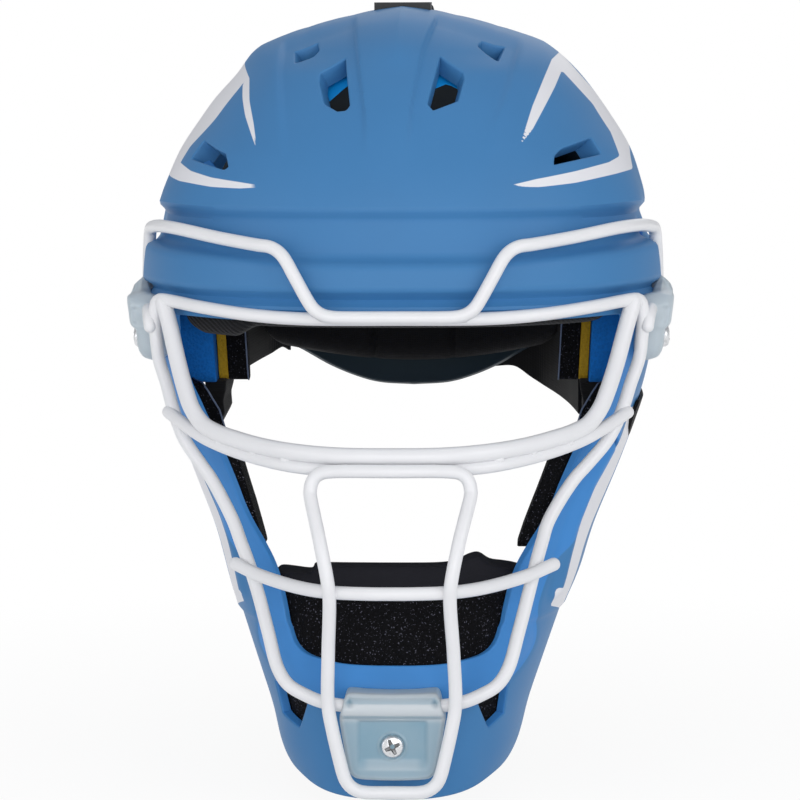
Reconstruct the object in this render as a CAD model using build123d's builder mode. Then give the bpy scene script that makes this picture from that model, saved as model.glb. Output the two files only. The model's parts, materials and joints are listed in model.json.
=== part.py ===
from build123d import *
import math
import os

os.makedirs("parts", exist_ok=True)

# Baseball catcher helmet, millimetres.
# +Z is up and -Y is the side that the wearer looks towards.
# The origin is the centre of the head cavity at the hat line.

# Overall sizes of the shell
half_width = 114.0
brow_reach = 112.0
chin_reach = 142.0
nape_reach = 116.0
crown_height = 120.0
chin_drop = 211.0

# Walls, gaps and fits
shell_wall = 4.0
fit_gap = 0.3
plate_gap = 4.0
overrun = 60.0

# Relief of the crown and the visor
panel_depth = 1.8
brow_band_depth = 2.0
brow_band_bottom = 17.0
brow_band_top = 35.5
visor_rise = 3.4
visor_top = 15.0
visor_bottom = 1.0
visor_back = -18.0
brow_edge = -10.0
vent_start = -150.0
vent_stop = -44.0
side_vent_stop = -40.0
chin_vent_stop = -96.0
port_stop = -28.0

# Cage wires
wire = 5.8
eye_wire = 7.2
wire_turn_share = 0.45

# Side clips and their screws
clip_front = -66.0
clip_back = -34.0
screw_head = 9.2
screw_head_height = 3.0
screw_shank = 4.8
screw_reach = 15.0
screw_recess = 11.6
side_screw_y = -47.0
side_screw_z = -21.5
drive_width = 1.5
drive_length = 5.6
drive_depth = 1.4
nut_flange = 15.0
nut_flange_height = 1.4
nut_barrel = 7.4
nut_bore = 8.0
nut_room = 1.0

# Chin clip
chin_screw_z = -182.8

# Pads
crown_pad_thick = 13.0
crown_pad_floor = 44.0
crown_pad_front = -62.0
crown_pad_back = 52.0
crown_pad_width = 44.0
crown_side_pad_inner = 26.0
crown_side_pad_outer = 62.0
brow_pad_thick = 12.0
brow_pad_top = 28.0
brow_pad_bottom = -17.0
brow_pad_half = 90.0
brow_pad_back = -22.0
liner_inner = 83.0
liner_front = -38.0
liner_back = 26.0
liner_top = 26.0
liner_bottom = -44.0
foam_thick = 4.0
side_pad_thick = 10.0
side_pad_front = -26.0
side_pad_back = 24.0
side_pad_top = 8.0
side_pad_bottom = -43.5
side_pad_round = 3.2
side_pad_corner = 9.0
jaw_pad_thick = 16.0
jaw_pad_depth = (-60.0, -8.0)
jaw_pad_rise = (-68.0, -45.0)
jaw_strip_thick = 7.0
jaw_strip_depth = (-104.0, -66.0)
jaw_strip_rise = (-110.0, -70.0)
chin_pad_thick = 20.0
chin_pad_half = 49.0
chin_pad_top = -113.0
chin_pad_bottom = -184.0
chin_pad_back = -86.0
chin_pocket_depth = 11.0
rear_pad_thick = 12.0
rear_pad_half = 56.0
rear_pad_top = 58.0
rear_pad_bottom = -32.0
rear_pad_front = 66.0

# Harness
strap_width = 25.0
strap_thick = 1.8
strap_lift = 0.3
hook_height = 3.6
hook_front = -15.0
hook_back = 3.0
top_strap_low = 88.0
buckle_length = 16.0
buckle_width = 31.0
buckle_height = 3.2
side_strap_run = (28.0, 76.0)
side_strap_rise = (-14.0, 5.0)
neck_strap_front = (82.5, 26.6)
neck_strap_middle = (70.0, 62.0)
neck_strap_rear = (47.0, 87.0)
neck_strap_width = 38.0
neck_strap_drop = -62.0
neck_strap_climb = 18.0
rivet_head = 9.0
rivet_height = 1.6

# Sections of the shell from the crown down.
# Height is a share of crown_height, width of half_width, front of brow_reach
# and rear of nape_reach; the last number is the squareness of the outline.
crown_shares = [
    (1.000, 0.175, 0.196, 0.190, 2.1),
    (0.983, 0.300, 0.335, 0.335, 2.1),
    (0.945, 0.425, 0.482, 0.500, 2.15),
    (0.875, 0.556, 0.628, 0.664, 2.2),
    (0.770, 0.675, 0.752, 0.793, 2.25),
    (0.640, 0.781, 0.850, 0.888, 2.3),
    (0.480, 0.884, 0.922, 0.957, 2.4),
    (0.310, 0.953, 0.970, 0.991, 2.5),
    (0.150, 0.987, 0.991, 1.000, 2.5),
    (0.000, 1.000, 1.000, 1.000, 2.5),
]

# Below the hat line height is a share of chin_drop, front is how far the
# outline has gone from brow_reach to chin_reach, and the fifth number moves
# the widest place forward, as a share of chin_reach.
jaw_shares = [
    (0.090, 0.987, 0.017, 0.983, 0.000, 2.5),
    (0.210, 0.943, 0.100, 0.940, 0.020, 2.5),
    (0.350, 0.851, 0.267, 0.853, 0.060, 2.5),
    (0.500, 0.730, 0.500, 0.724, 0.155, 2.5),
    (0.640, 0.632, 0.767, 0.569, 0.268, 2.5),
    (0.760, 0.548, 0.950, 0.414, 0.352, 2.5),
    (0.880, 0.469, 1.000, 0.259, 0.408, 2.5),
    (1.000, 0.404, 0.930, 0.121, 0.437, 2.5),
    (1.080, 0.360, 0.800, 0.060, 0.445, 2.5),
]
outline_steps = 24
least_share = 0.5


def section_rows(inset):
    """Height, half width, front, rear, widest place and squareness of each section."""
    rows = []
    for height, width, front, rear, square in crown_shares:
        rows.append((
            height * (crown_height - inset),
            max(width * half_width - inset, width * half_width * least_share),
            max(front * brow_reach - inset, front * brow_reach * least_share),
            max(rear * nape_reach - inset, rear * nape_reach * least_share),
            0.0,
            square,
        ))
    for height, width, front, rear, shift, square in jaw_shares:
        rows.append((
            -height * chin_drop,
            width * half_width - inset,
            brow_reach + front * (chin_reach - brow_reach) - inset,
            rear * nape_reach - inset,
            -shift * chin_reach,
            square,
        ))
    return rows


def outline_points(width, front, rear, middle, square):
    """Points of a rounded section, from its rear round to the front and back."""
    points = []
    for step in range(outline_steps):
        turn = math.pi / 2 + step * math.tau / outline_steps
        across = math.copysign(abs(math.cos(turn)) ** (2 / square), math.cos(turn))
        along = math.copysign(abs(math.sin(turn)) ** (2 / square), math.sin(turn))
        reach = rear - middle if along > 0 else front + middle
        points.append((width * across, middle + reach * along))
    return points


def hull(inset):
    """The closed body of the helmet, drawn in by inset all over."""
    with BuildPart() as body:
        for height, width, front, rear, middle, square in section_rows(inset):
            with BuildSketch(Plane.XY.offset(height)):
                with BuildLine():
                    Spline(*outline_points(width, front, rear, middle, square), periodic=True)
                make_face()
        loft()
    return body.part


def side_point(y_share, z_share):
    """A point of the side view: shares of the reach and of the height on its side of zero."""
    y = y_share * (nape_reach if y_share > 0 else chin_reach)
    z = z_share * (crown_height if z_share > 0 else chin_drop)
    return (y, z)


def front_point(x_share, z_share):
    """A point of the front view: shares of the half width and of the height."""
    return (x_share * half_width, z_share * (crown_height if z_share > 0 else chin_drop))


def place(x_share, y_share, z_share):
    """A point in space from its shares."""
    x, z = front_point(x_share, z_share)
    return (x, side_point(y_share, z_share)[0], z)


def front_prism(points, start, stop):
    """The outline of the front view, pushed from y = start back to y = stop."""
    with BuildPart() as prism:
        with BuildSketch(Plane.XZ.offset(-start)):
            with BuildLine():
                Polyline(*points, close=True)
            make_face()
        extrude(amount=-(stop - start))
    return prism.part


def side_prism(points, margin, corners):
    """The side view region bounded by a smooth edge and by corners, right across the helmet."""
    with BuildPart() as prism:
        with BuildSketch(Plane.YZ):
            with BuildLine():
                Spline(*points)
                Polyline(points[-1], *corners, points[0])
            make_face()
        extrude(amount=half_width + margin, both=True)
    return prism.part


def block(x, y, z):
    """A plain block between pairs of coordinates."""
    size = (x[1] - x[0], y[1] - y[0], z[1] - z[0])
    middle = ((x[0] + x[1]) / 2, (y[0] + y[1]) / 2, (z[0] + z[1]) / 2)
    return Pos(*middle) * Box(*size, mode=Mode.PRIVATE)


def save(piece, name):
    """Name a finished piece and write it."""
    piece.part.label = name
    export_step(piece.part, "parts/" + name + ".step")


def both_sides(points, side):
    return [(x * side, z) for x, z in points]


far = chin_reach + overrun
high = crown_height + overrun
deep = -(chin_drop + overrun)

outer_hull = hull(0)
inner_hull = hull(shell_wall)
grown_hull = hull(-fit_gap)
visor_hull = hull(-visor_rise)
seat_hull = hull(shell_wall + fit_gap)

# Rear and lower edge of the front shell, from the crown down round the ear
# and along the jaw to the chin
shell_edge_shares = [
    (0.500, 1.167), (0.543, 0.875), (0.600, 0.600), (0.569, 0.317), (0.440, 0.067),
    (0.340, -0.104), (0.290, -0.261), (0.200, -0.379), (0.034, -0.493), (-0.211, -0.664),
    (-0.423, -0.815), (-0.634, -0.935), (-0.817, -0.975), (-0.937, -0.995), (-1.127, -1.010),
]
shell_edge = [side_point(y, z) for y, z in shell_edge_shares]
shell_side = side_prism(shell_edge, overrun, [(-far, shell_edge[-1][1]), (-far, shell_edge[0][1])])

# Face port, half outline from the middle of the brow edge
port_shares = [(0.842, -0.047), (0.630, -0.340), (0.425, -0.545), (0.366, -0.680), (0.160, -0.712)]
port_half = [front_point(x, z) for x, z in port_shares]
port_radii = [6.0, 60.0, 40.0, 6.0, 3.0]
port_band = 13.0
port_band_depth = 1.5


def port_cutter(margin, start, stop):
    """The face port, or the wider band round it."""
    with BuildPart() as cutter:
        with BuildSketch(Plane.XZ.offset(-start)) as view:
            with BuildLine():
                Polyline(*port_half, *[(-x, z) for x, z in reversed(port_half)], close=True)
            make_face()
            for (x, z), radius in zip(port_half, port_radii):
                corners = view.vertices().filter_by_position(Axis.Y, z - fit_gap, z + fit_gap)
                fillet(corners, radius)
            if margin:
                offset(amount=margin)
        extrude(amount=-(stop - start))
    return cutter.part


# Recessed panels of the crown between the centre spine and the outer ridges
panel_shares = [
    (0.185, 1.000), (0.100, 0.700), (0.080, 0.400), (0.345, 0.430), (0.395, 0.610),
    (0.441, 0.770), (0.470, 0.900), (0.490, 1.050), (0.200, 1.080),
]
# Vents of the crown, the temples and the chin
big_vent_shares = [(0.300, 0.787), (0.187, 0.855), (0.153, 0.665), (0.232, 0.680), (0.285, 0.720)]
small_vent_shares = [(0.410, 0.885), (0.316, 0.915), (0.322, 0.880), (0.398, 0.842)]
temple_vent_shares = [(0.722, 0.537), (0.758, 0.470), (0.608, 0.445), (0.616, 0.498)]
chin_vent_shares = [(0.415, -0.761), (0.316, -0.785), (0.342, -0.830), (0.373, -0.801)]
# Ear slots, as shares of the side view
ear_slot_length = 26.0
ear_slot_width = 6.0
ear_slot_step = 13.0
ear_slot_y = 2.0
ear_slot_z = -34.0
ear_slot_tilt = 62.0
ear_slots = 3


def outlines(shares, side):
    return both_sides([front_point(x, z) for x, z in shares], side)


visor_box = block((-far, far), (-far, visor_back), (visor_bottom, visor_top))
visor_band = visor_hull & visor_box
brow_band_box = block((-far, far), (-far, visor_back), (brow_band_bottom, brow_band_top))
brow_band = (grown_hull & brow_band_box) - (hull(brow_band_depth) & brow_band_box)
band_prism = port_cutter(port_band, -far, port_stop)
band_prism = band_prism & block((-far, far), (-far, port_stop), (deep, brow_edge))
band_skin = (grown_hull & band_prism) - (hull(port_band_depth) & band_prism)
panel_floor = hull(panel_depth)
port_hole = port_cutter(0, -far, port_stop)

crown_cuts = []
vent_cuts = []
side_bores = []
for side in (-1, 1):
    panel = front_prism(outlines(panel_shares, side), -far, 0)
    crown_cuts.append((grown_hull & panel) - (panel_floor & panel))
    for shares, stop in (
        (big_vent_shares, vent_stop),
        (small_vent_shares, 0),
        (temple_vent_shares, side_vent_stop),
        (chin_vent_shares, chin_vent_stop),
    ):
        vent_cuts.append(front_prism(outlines(shares, side), vent_start, stop))
    for slot in range(ear_slots):
        slot_y = ear_slot_y + (slot - (ear_slots - 1) / 2) * ear_slot_step
        with BuildPart() as ear_slot:
            with BuildSketch(Plane.YZ.offset(side * half_width / 2)):
                with Locations((slot_y, ear_slot_z)):
                    SlotOverall(ear_slot_length, ear_slot_width, rotation=ear_slot_tilt)
            extrude(amount=side * half_width)
        vent_cuts.append(ear_slot.part)
    side_bores.append(
        Pos(side * half_width, side_screw_y, side_screw_z)
        * Rot(0, 90, 0) * Cylinder(nut_bore / 2, half_width / 2, mode=Mode.PRIVATE)
    )
chin_bore = Pos(0, -chin_reach, chin_screw_z) * Rot(90, 0, 0) * Cylinder(nut_bore / 2, overrun, mode=Mode.PRIVATE)

with BuildPart() as front_shell:
    add(outer_hull)
    add(visor_band)
    add(inner_hull, mode=Mode.SUBTRACT)
    add(shell_side, mode=Mode.INTERSECT)
    add(brow_band, mode=Mode.SUBTRACT)
    for cut in crown_cuts:
        add(cut, mode=Mode.SUBTRACT)
    add(band_skin, mode=Mode.SUBTRACT)
    add(port_hole, mode=Mode.SUBTRACT)
    for cut in vent_cuts + side_bores + [chin_bore]:
        add(cut, mode=Mode.SUBTRACT)
save(front_shell, "front_shell")


# Rear plate, behind the edge of the front shell
plate_corner_shares = [(1.300, -0.330), (0.400, -0.330)]
# Lower edge of the plate, half of the front view from its middle
plate_low_shares = [
    (0.000, -0.284), (0.140, -0.279), (0.246, -0.264), (0.351, -0.240), (0.447, -0.209),
    (0.579, -0.152), (0.746, -0.118), (1.000, -0.104), (1.300, -0.100),
]
plate_edge = [(y + plate_gap, z) for y, z in shell_edge[:6]]
plate_side = side_prism(plate_edge, overrun, [side_point(y, z) for y, z in plate_corner_shares[::-1]]
                        + [(far, plate_edge[0][1])])
plate_slot_length = 34.0
plate_slot_width = 7.0
plate_slot_step = 24.0
plate_slot_z = 44.0
plate_slots = 3
shell_skin = outer_hull - inner_hull
plate_low = [front_point(x, z) for x, z in plate_low_shares]
with BuildPart() as plate_front:
    with BuildSketch(Plane.XZ.offset(-far)):
        with BuildLine():
            Spline(*[(-x, z) for x, z in reversed(plate_low[1:])], *plate_low)
            Polyline(plate_low[-1], (plate_low[-1][0], high), (-plate_low[-1][0], high), (-plate_low[-1][0], plate_low[-1][1]))
        make_face()
    extrude(amount=far)
plate_region = plate_side & plate_front.part

with BuildPart() as rear_plate:
    add(shell_skin & plate_region)
    with BuildSketch(Plane.XZ.offset(-far)):
        for slot in range(plate_slots):
            with Locations(((slot - (plate_slots - 1) / 2) * plate_slot_step, plate_slot_z)):
                SlotOverall(plate_slot_length, plate_slot_width, rotation=90)
    extrude(amount=far - overrun, mode=Mode.SUBTRACT)
save(rear_plate, "rear_plate")


def wire_radii(points, closed):
    """The largest even bend at each corner of a wire."""
    radii = []
    count = len(points)
    for index in range(0 if closed else 1, count if closed else count - 1):
        before = Vector(*points[index - 1])
        here = Vector(*points[index])
        after = Vector(*points[(index + 1) % count])
        turn = math.radians((here - before).get_angle(after - here))
        run = min((here - before).length, (after - here).length)
        radii.append(wire_turn_share * run / math.tan(turn / 2))
    return radii


def bent_wire(shares, thickness, mirror_half=False, closed=False):
    """A round wire through the points of a table of shares."""
    points = [place(*share) for share in shares]
    if mirror_half:
        points = points + [(-x, y, z) for x, y, z in reversed(points) if x > 0]
    radii = wire_radii(points, closed)
    with BuildPart() as bent:
        with BuildLine() as route:
            FilletPolyline(*points, radius=radii, close=closed)
        with BuildSketch(Plane(origin=route.line @ 0, z_dir=route.line % 0)):
            Circle(thickness / 2)
        sweep(path=route.line)
    return bent.part


# Wires of the cage, right half or right side, as shares of the half width,
# the chin reach and the heights
outer_loop_shares = [
    (0.000, -0.814, -0.033), (0.316, -0.800, -0.034), (0.579, -0.734, -0.028),
    (0.763, -0.634, -0.021), (0.885, -0.532, -0.017), (0.922, -0.516, -0.094),
    (0.897, -0.545, -0.164), (0.832, -0.606, -0.227), (0.737, -0.694, -0.327),
    (0.658, -0.756, -0.405), (0.582, -0.808, -0.456), (0.553, -0.842, -0.495),
    (0.509, -0.920, -0.581), (0.459, -0.975, -0.652), (0.434, -1.004, -0.694),
    (0.386, -1.034, -0.748), (0.321, -1.044, -0.765), (0.193, -1.061, -0.780),
    (0.088, -1.063, -0.788),
]
visor_bar_shares = [
    (0.988, -0.401, 0.004), (0.986, -0.404, 0.125), (0.945, -0.440, 0.204),
    (0.798, -0.592, 0.203), (0.627, -0.706, 0.192), (0.434, -0.800, 0.171),
    (0.346, -0.818, 0.054), (0.282, -0.820, -0.030),
]
eye_bar_shares = [
    (0.866, -0.540, -0.042), (0.820, -0.606, -0.104), (0.772, -0.689, -0.179),
    (0.744, -0.740, -0.226), (0.697, -0.795, -0.258), (0.595, -0.891, -0.278),
    (0.476, -0.970, -0.287), (0.331, -1.049, -0.290), (0.182, -1.092, -0.291),
]
cheek_bar_shares = [
    (0.853, -0.612, -0.245), (0.773, -0.722, -0.278), (0.666, -0.828, -0.296),
    (0.525, -0.930, -0.310), (0.331, -1.046, -0.321), (0.140, -1.087, -0.323),
]
mouth_bar_shares = [
    (0.573, -0.882, -0.524), (0.481, -0.970, -0.536), (0.329, -1.106, -0.547),
    (0.223, -1.177, -0.547), (0.090, -1.220, -0.546),
]
center_loop_shares = [
    (0.120, -1.130, -0.326), (0.276, -1.102, -0.328), (0.292, -1.116, -0.355),
    (0.254, -1.196, -0.445), (0.219, -1.217, -0.531), (0.219, -1.184, -0.602),
    (0.226, -1.141, -0.675), (0.231, -1.100, -0.777), (0.207, -1.098, -0.845),
    (0.180, -1.096, -0.911), (0.120, -1.094, -0.953), (0.050, -1.094, -0.957),
]
side_stub_shares = [
    (0.925, -0.514, -0.104), (0.956, -0.490, -0.070), (0.977, -0.452, -0.040), (0.982, -0.350, -0.036),
]

cage_wires = [
    ("cage_outer_loop", outer_loop_shares, wire, True),
    ("cage_eye_bar", eye_bar_shares, eye_wire, False),
    ("cage_cheek_bar", cheek_bar_shares, wire, False),
    ("cage_mouth_bar", mouth_bar_shares, wire, False),
    ("cage_center_loop", center_loop_shares, wire, True),
]
for name, shares, thickness, closed in cage_wires:
    solid = bent_wire(shares, thickness, True, closed)
    with BuildPart() as cage_wire:
        add(solid)
    save(cage_wire, name)

visor_bar = bent_wire(visor_bar_shares, wire)
side_stub = bent_wire(side_stub_shares, wire)
wire_room = wire + 2 * fit_gap
visor_channel = bent_wire(visor_bar_shares, wire_room)
stub_channel = bent_wire(side_stub_shares, wire_room)
loop_channel = bent_wire(outer_loop_shares, wire_room, mirror_half=True, closed=True)


def sided(part, side):
    """The right hand piece, or its mirror image on the left."""
    return part if side > 0 else part.mirror(Plane.YZ)


def pocket(radius, length):
    """A round cutter along X that starts at the origin."""
    return Pos(length / 2, 0, 0) * Rot(0, 90, 0) * Cylinder(radius, length, mode=Mode.PRIVATE)


# Side clip: outline of the front view, as shares of the half width and heights
side_clip_shares = [
    (0.930, 0.037), (0.993, 0.037), (1.050, -0.010), (1.042, -0.043),
    (1.030, -0.081), (1.022, -0.114), (0.977, -0.145), (0.900, -0.145),
]
clip_corner = 7.0
side_head_seat_share = 0.985
side_head_seat = side_head_seat_share * half_width
clip_top, clip_bottom = 5.0, -31.0
screw_line = Pos(side_head_seat, side_screw_y, side_screw_z)
visor_room = (visor_hull & block((-far, far), (-far, far), (visor_bottom - fit_gap, visor_top))) + grown_hull

with BuildPart() as clip_body:
    with BuildSketch(Plane.XZ.offset(-clip_front)):
        with BuildLine():
            Polyline(*outlines(side_clip_shares, 1), close=True)
        make_face()
    extrude(amount=-(clip_back - clip_front))
    with BuildSketch(Plane.YZ):
        with Locations(((clip_front + clip_back) / 2, (clip_top + clip_bottom) / 2)):
            RectangleRounded(clip_back - clip_front, clip_top - clip_bottom, clip_corner)
    extrude(amount=half_width + overrun, mode=Mode.INTERSECT)
    add(visor_room, mode=Mode.SUBTRACT)
    add(visor_channel, mode=Mode.SUBTRACT)
    add(stub_channel, mode=Mode.SUBTRACT)
    add(screw_line * pocket(screw_recess / 2, overrun), mode=Mode.SUBTRACT)
    add(screw_line * Pos(-overrun, 0, 0) * pocket(screw_shank / 2 + fit_gap, 2 * overrun), mode=Mode.SUBTRACT)
clip_solid = clip_body.part.solids().sort_by(SortBy.VOLUME)[-1]

for side, word in ((-1, "left"), (1, "right")):
    with BuildPart() as side_clip:
        add(sided(clip_solid, side))
    save(side_clip, "side_clip_" + word)
    with BuildPart() as cage_visor_bar:
        add(sided(visor_bar, side))
    save(cage_visor_bar, "cage_visor_bar_" + word)
    with BuildPart() as cage_side_stub:
        add(sided(side_stub, side))
    save(cage_side_stub, "cage_side_stub_" + word)


def screw(length):
    """A pan head screw along X, its seat at the origin and its head outwards."""
    with BuildPart() as made:
        with BuildSketch(Plane.XY) as half:
            with BuildLine():
                Line((0, -length), (screw_shank / 2, -length))
                Line((screw_shank / 2, -length), (screw_shank / 2, 0))
                Line((screw_shank / 2, 0), (screw_head / 2, 0))
                Line((screw_head / 2, 0), (screw_head / 2, screw_head_height / 2))
                RadiusArc((screw_head / 2, screw_head_height / 2), (0, screw_head_height), -screw_head)
                Line((0, screw_head_height), (0, -length))
            make_face()
        revolve(axis=Axis.Y)
        with BuildSketch(Plane.XZ.offset(-screw_head_height)):
            Rectangle(drive_length, drive_width)
            Rectangle(drive_width, drive_length)
        extrude(amount=drive_depth, mode=Mode.SUBTRACT)
    return Rot(0, 0, -90) * made.part


def tee_nut(barrel_length):
    """A tee nut along X, its flange at the origin and its barrel outwards."""
    return (
        Pos(-nut_flange_height, 0, 0) * pocket(nut_flange / 2, nut_flange_height)
        + pocket(nut_barrel / 2, barrel_length)
    ) - Pos(-overrun, 0, 0) * pocket(screw_shank / 2 + fit_gap / 2, 2 * overrun)


side_screw = screw(screw_reach)
side_nut_seat = 99.2
side_nut_barrel = 6.4

side_nut = tee_nut(side_nut_barrel)

with BuildPart() as side_clip_screws:
    for side in (-1, 1):
        add(sided(screw_line * side_screw, side))
save(side_clip_screws, "side_clip_screws")

with BuildPart() as side_tee_nuts:
    for side in (-1, 1):
        add(sided(Pos(side_nut_seat, side_screw_y, side_screw_z) * side_nut, side))
save(side_tee_nuts, "side_tee_nuts")

# Chin clip: front view half outline and side view outline, in shares
chin_clip_shares = [
    (0.158, -0.752), (0.172, -0.772), (0.176, -0.796), (0.196, -0.812),
    (0.190, -0.850), (0.165, -0.905), (0.145, -0.933),
]
chin_side_shares = [
    (-1.075, -0.752), (-1.094, -0.766), (-1.094, -0.808), (-1.075, -0.822), (-1.072, -0.936),
    (-0.960, -0.936), (-0.960, -0.752),
]
chin_panel_shares = [(0.105, -0.835), (0.112, -0.860), (0.108, -0.900), (0.085, -0.918)]
chin_panel_floor = -151.2

with BuildPart() as chin_clip:
    with BuildSketch(Plane.YZ):
        with BuildLine():
            Polyline(*[side_point(y, z) for y, z in chin_side_shares], close=True)
        make_face()
    extrude(amount=half_width, both=True)
    with BuildSketch(Plane.XZ.offset(far)):
        with BuildLine():
            half_outline = [front_point(x, z) for x, z in chin_clip_shares]
            Polyline(*half_outline, *[(-x, z) for x, z in reversed(half_outline)], close=True)
        make_face()
    extrude(amount=-far, mode=Mode.INTERSECT)
    with BuildSketch(Plane.XZ.offset(far)):
        with BuildLine():
            half_outline = [front_point(x, z) for x, z in chin_panel_shares]
            Polyline(*half_outline, *[(-x, z) for x, z in reversed(half_outline)], close=True)
        make_face()
    extrude(amount=-(far + chin_panel_floor), mode=Mode.SUBTRACT)
    add(grown_hull, mode=Mode.SUBTRACT)
    add(loop_channel, mode=Mode.SUBTRACT)
    with BuildSketch(Plane.XZ.offset(far)):
        with Locations((0, chin_screw_z)):
            Circle(screw_shank / 2 + fit_gap)
    extrude(amount=-far, mode=Mode.SUBTRACT)
save(chin_clip, "chin_clip")

chin_nut_seat = -137.4
chin_nut_barrel = 4.6
chin_screw = screw(screw_reach)
chin_nut = tee_nut(chin_nut_barrel)

with BuildPart() as chin_clip_screw:
    add(Pos(0, chin_panel_floor, chin_screw_z) * Rot(0, 0, -90) * chin_screw)
save(chin_clip_screw, "chin_clip_screw")

with BuildPart() as chin_tee_nut:
    add(Pos(0, chin_nut_seat, chin_screw_z) * Rot(0, 0, -90) * chin_nut)
save(chin_tee_nut, "chin_tee_nut")


def lining(thick, region):
    """A pad that lies against the inside of the wall within a region."""
    return (seat_hull & region) - (hull(shell_wall + fit_gap + thick) & region)


def wall_strip(low, thick, region):
    """A strip that lies on the outside of the shell, low above it, within a region."""
    return (hull(-low - thick) & region) - (hull(-low) & region)


# Pads against the inside of the shell
half_crown = crown_pad_width / 2
crown_depth = (crown_pad_front, crown_pad_back)
crown_rise = (crown_pad_floor, high)
center_pad = lining(crown_pad_thick, block((-half_crown, half_crown), crown_depth, crown_rise))
side_crown_block = block((crown_side_pad_inner, crown_side_pad_outer), crown_depth, crown_rise)
side_crown_pad = lining(crown_pad_thick, side_crown_block)
brow_block = block((-brow_pad_half, brow_pad_half), (-far, brow_pad_back), (brow_pad_bottom, brow_pad_top))
brow_foam = lining(brow_pad_thick, brow_block)
liner_depth = (liner_front, liner_back)
liner_solid = seat_hull & block((liner_inner, half_width), liner_depth, (liner_bottom, liner_top))
jaw_foam = lining(jaw_pad_thick, block((0, half_width), jaw_pad_depth, jaw_pad_rise))
jaw_strip_foam = lining(jaw_strip_thick, block((chin_pad_half + fit_gap, half_width), jaw_strip_depth, jaw_strip_rise))
chin_block = block((-chin_pad_half, chin_pad_half), (-far, chin_pad_back), (chin_pad_bottom, chin_pad_top))
chin_pocket = Pos(0, -chin_reach, chin_screw_z) * Rot(0, 0, 90) * pocket(nut_flange / 2 + nut_room, chin_pocket_depth)
chin_foam = lining(chin_pad_thick, chin_block) - chin_pocket
rear_block = block((-rear_pad_half, rear_pad_half), (rear_pad_front, far), (rear_pad_bottom, rear_pad_top))
rear_foam = lining(rear_pad_thick, rear_block)

with BuildPart() as crown_pad_center:
    add(center_pad)
save(crown_pad_center, "crown_pad_center")

with BuildPart() as brow_pad:
    add(brow_foam)
save(brow_pad, "brow_pad")

with BuildPart() as chin_pad:
    add(chin_foam)
save(chin_pad, "chin_pad")

with BuildPart() as rear_pad:
    add(rear_foam)
save(rear_pad, "rear_pad")

foam_outer = liner_inner - fit_gap
foam_inner = foam_outer - foam_thick
pad_outer = foam_inner - fit_gap
pad_inner = pad_outer - side_pad_thick
side_pad_depth = side_pad_back - side_pad_front
side_pad_height = side_pad_top - side_pad_bottom
side_pad_middle = ((side_pad_front + side_pad_back) / 2, (side_pad_top + side_pad_bottom) / 2)
for side, word in ((-1, "left"), (1, "right")):
    with BuildPart() as crown_pad:
        add(sided(side_crown_pad, side))
    save(crown_pad, "crown_pad_" + word)
    with BuildPart() as side_liner:
        add(sided(liner_solid, side))
    save(side_liner, "side_liner_" + word)
    with BuildPart() as side_foam:
        with BuildSketch(Plane.YZ.offset(side * foam_inner)):
            with Locations(side_pad_middle):
                RectangleRounded(side_pad_depth, side_pad_height, side_pad_corner)
        extrude(amount=side * foam_thick)
    save(side_foam, "side_foam_" + word)
    with BuildPart() as side_pad:
        with BuildSketch(Plane.YZ.offset(side * pad_inner)):
            with Locations(side_pad_middle):
                RectangleRounded(side_pad_depth, side_pad_height, side_pad_corner)
        extrude(amount=side * side_pad_thick)
        inner_face = side_pad.faces().sort_by(Axis.X)[0 if side > 0 else -1]
        fillet(inner_face.edges(), side_pad_round)
    save(side_pad, "side_pad_" + word)
    with BuildPart() as jaw_pad:
        add(sided(jaw_foam, side))
    save(jaw_pad, "jaw_pad_" + word)
    with BuildPart() as jaw_strip:
        add(sided(jaw_strip_foam, side))
    save(jaw_strip, "jaw_strip_" + word)

# Harness: the top strap with its hook and buckle, side straps and neck straps
half_strap = strap_width / 2
hook_block = block((-half_strap, half_strap), (hook_front, hook_back), (crown_pad_floor, high))
hook_solid = wall_strip(strap_lift, hook_height, hook_block)
strap_block = block((-half_strap, half_strap), (hook_back, far), (top_strap_low, high))
top_strap_solid = wall_strip(strap_lift, strap_thick, strap_block)
buckle_block = block((-buckle_width / 2, buckle_width / 2), (hook_back, far), (top_strap_low - buckle_length, top_strap_low))
buckle_solid = wall_strip(strap_lift, buckle_height, buckle_block)
side_strap_block = block((0, far), side_strap_run, side_strap_rise)
side_strap_solid = wall_strip(strap_lift, strap_thick, side_strap_block)

with BuildPart() as top_strap_hook:
    add(hook_solid)
save(top_strap_hook, "top_strap_hook")

with BuildPart() as top_strap:
    add(top_strap_solid)
save(top_strap, "top_strap")

with BuildPart() as top_strap_buckle:
    add(buckle_solid)
save(top_strap_buckle, "top_strap_buckle")

neck_front, neck_rear = neck_strap_front[1], neck_strap_rear[1]
neck_line = [(neck_front, neck_strap_drop), (neck_rear, neck_strap_drop + neck_strap_climb)]
neck_outline = neck_line + [(y, z + neck_strap_width) for y, z in reversed(neck_line)]
with BuildPart() as neck_band:
    with BuildSketch(Plane.XY.offset(neck_strap_drop)):
        with BuildLine():
            ThreePointArc(neck_strap_front, neck_strap_middle, neck_strap_rear)
            offset(amount=strap_thick, side=Side.LEFT)
        make_face()
    extrude(amount=neck_strap_width + neck_strap_climb)
    with BuildSketch(Plane.YZ):
        with BuildLine():
            Polyline(*neck_outline, close=True)
        make_face()
    extrude(amount=half_width, mode=Mode.INTERSECT)

rivet_lift = strap_lift + strap_thick + strap_lift
for side, word in ((-1, "left"), (1, "right")):
    with BuildPart() as side_strap:
        add(sided(side_strap_solid, side))
    save(side_strap, "side_strap_" + word)
    with BuildPart() as neck_strap:
        add(sided(neck_band.part, side))
    save(neck_strap, "neck_strap_" + word)

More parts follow.
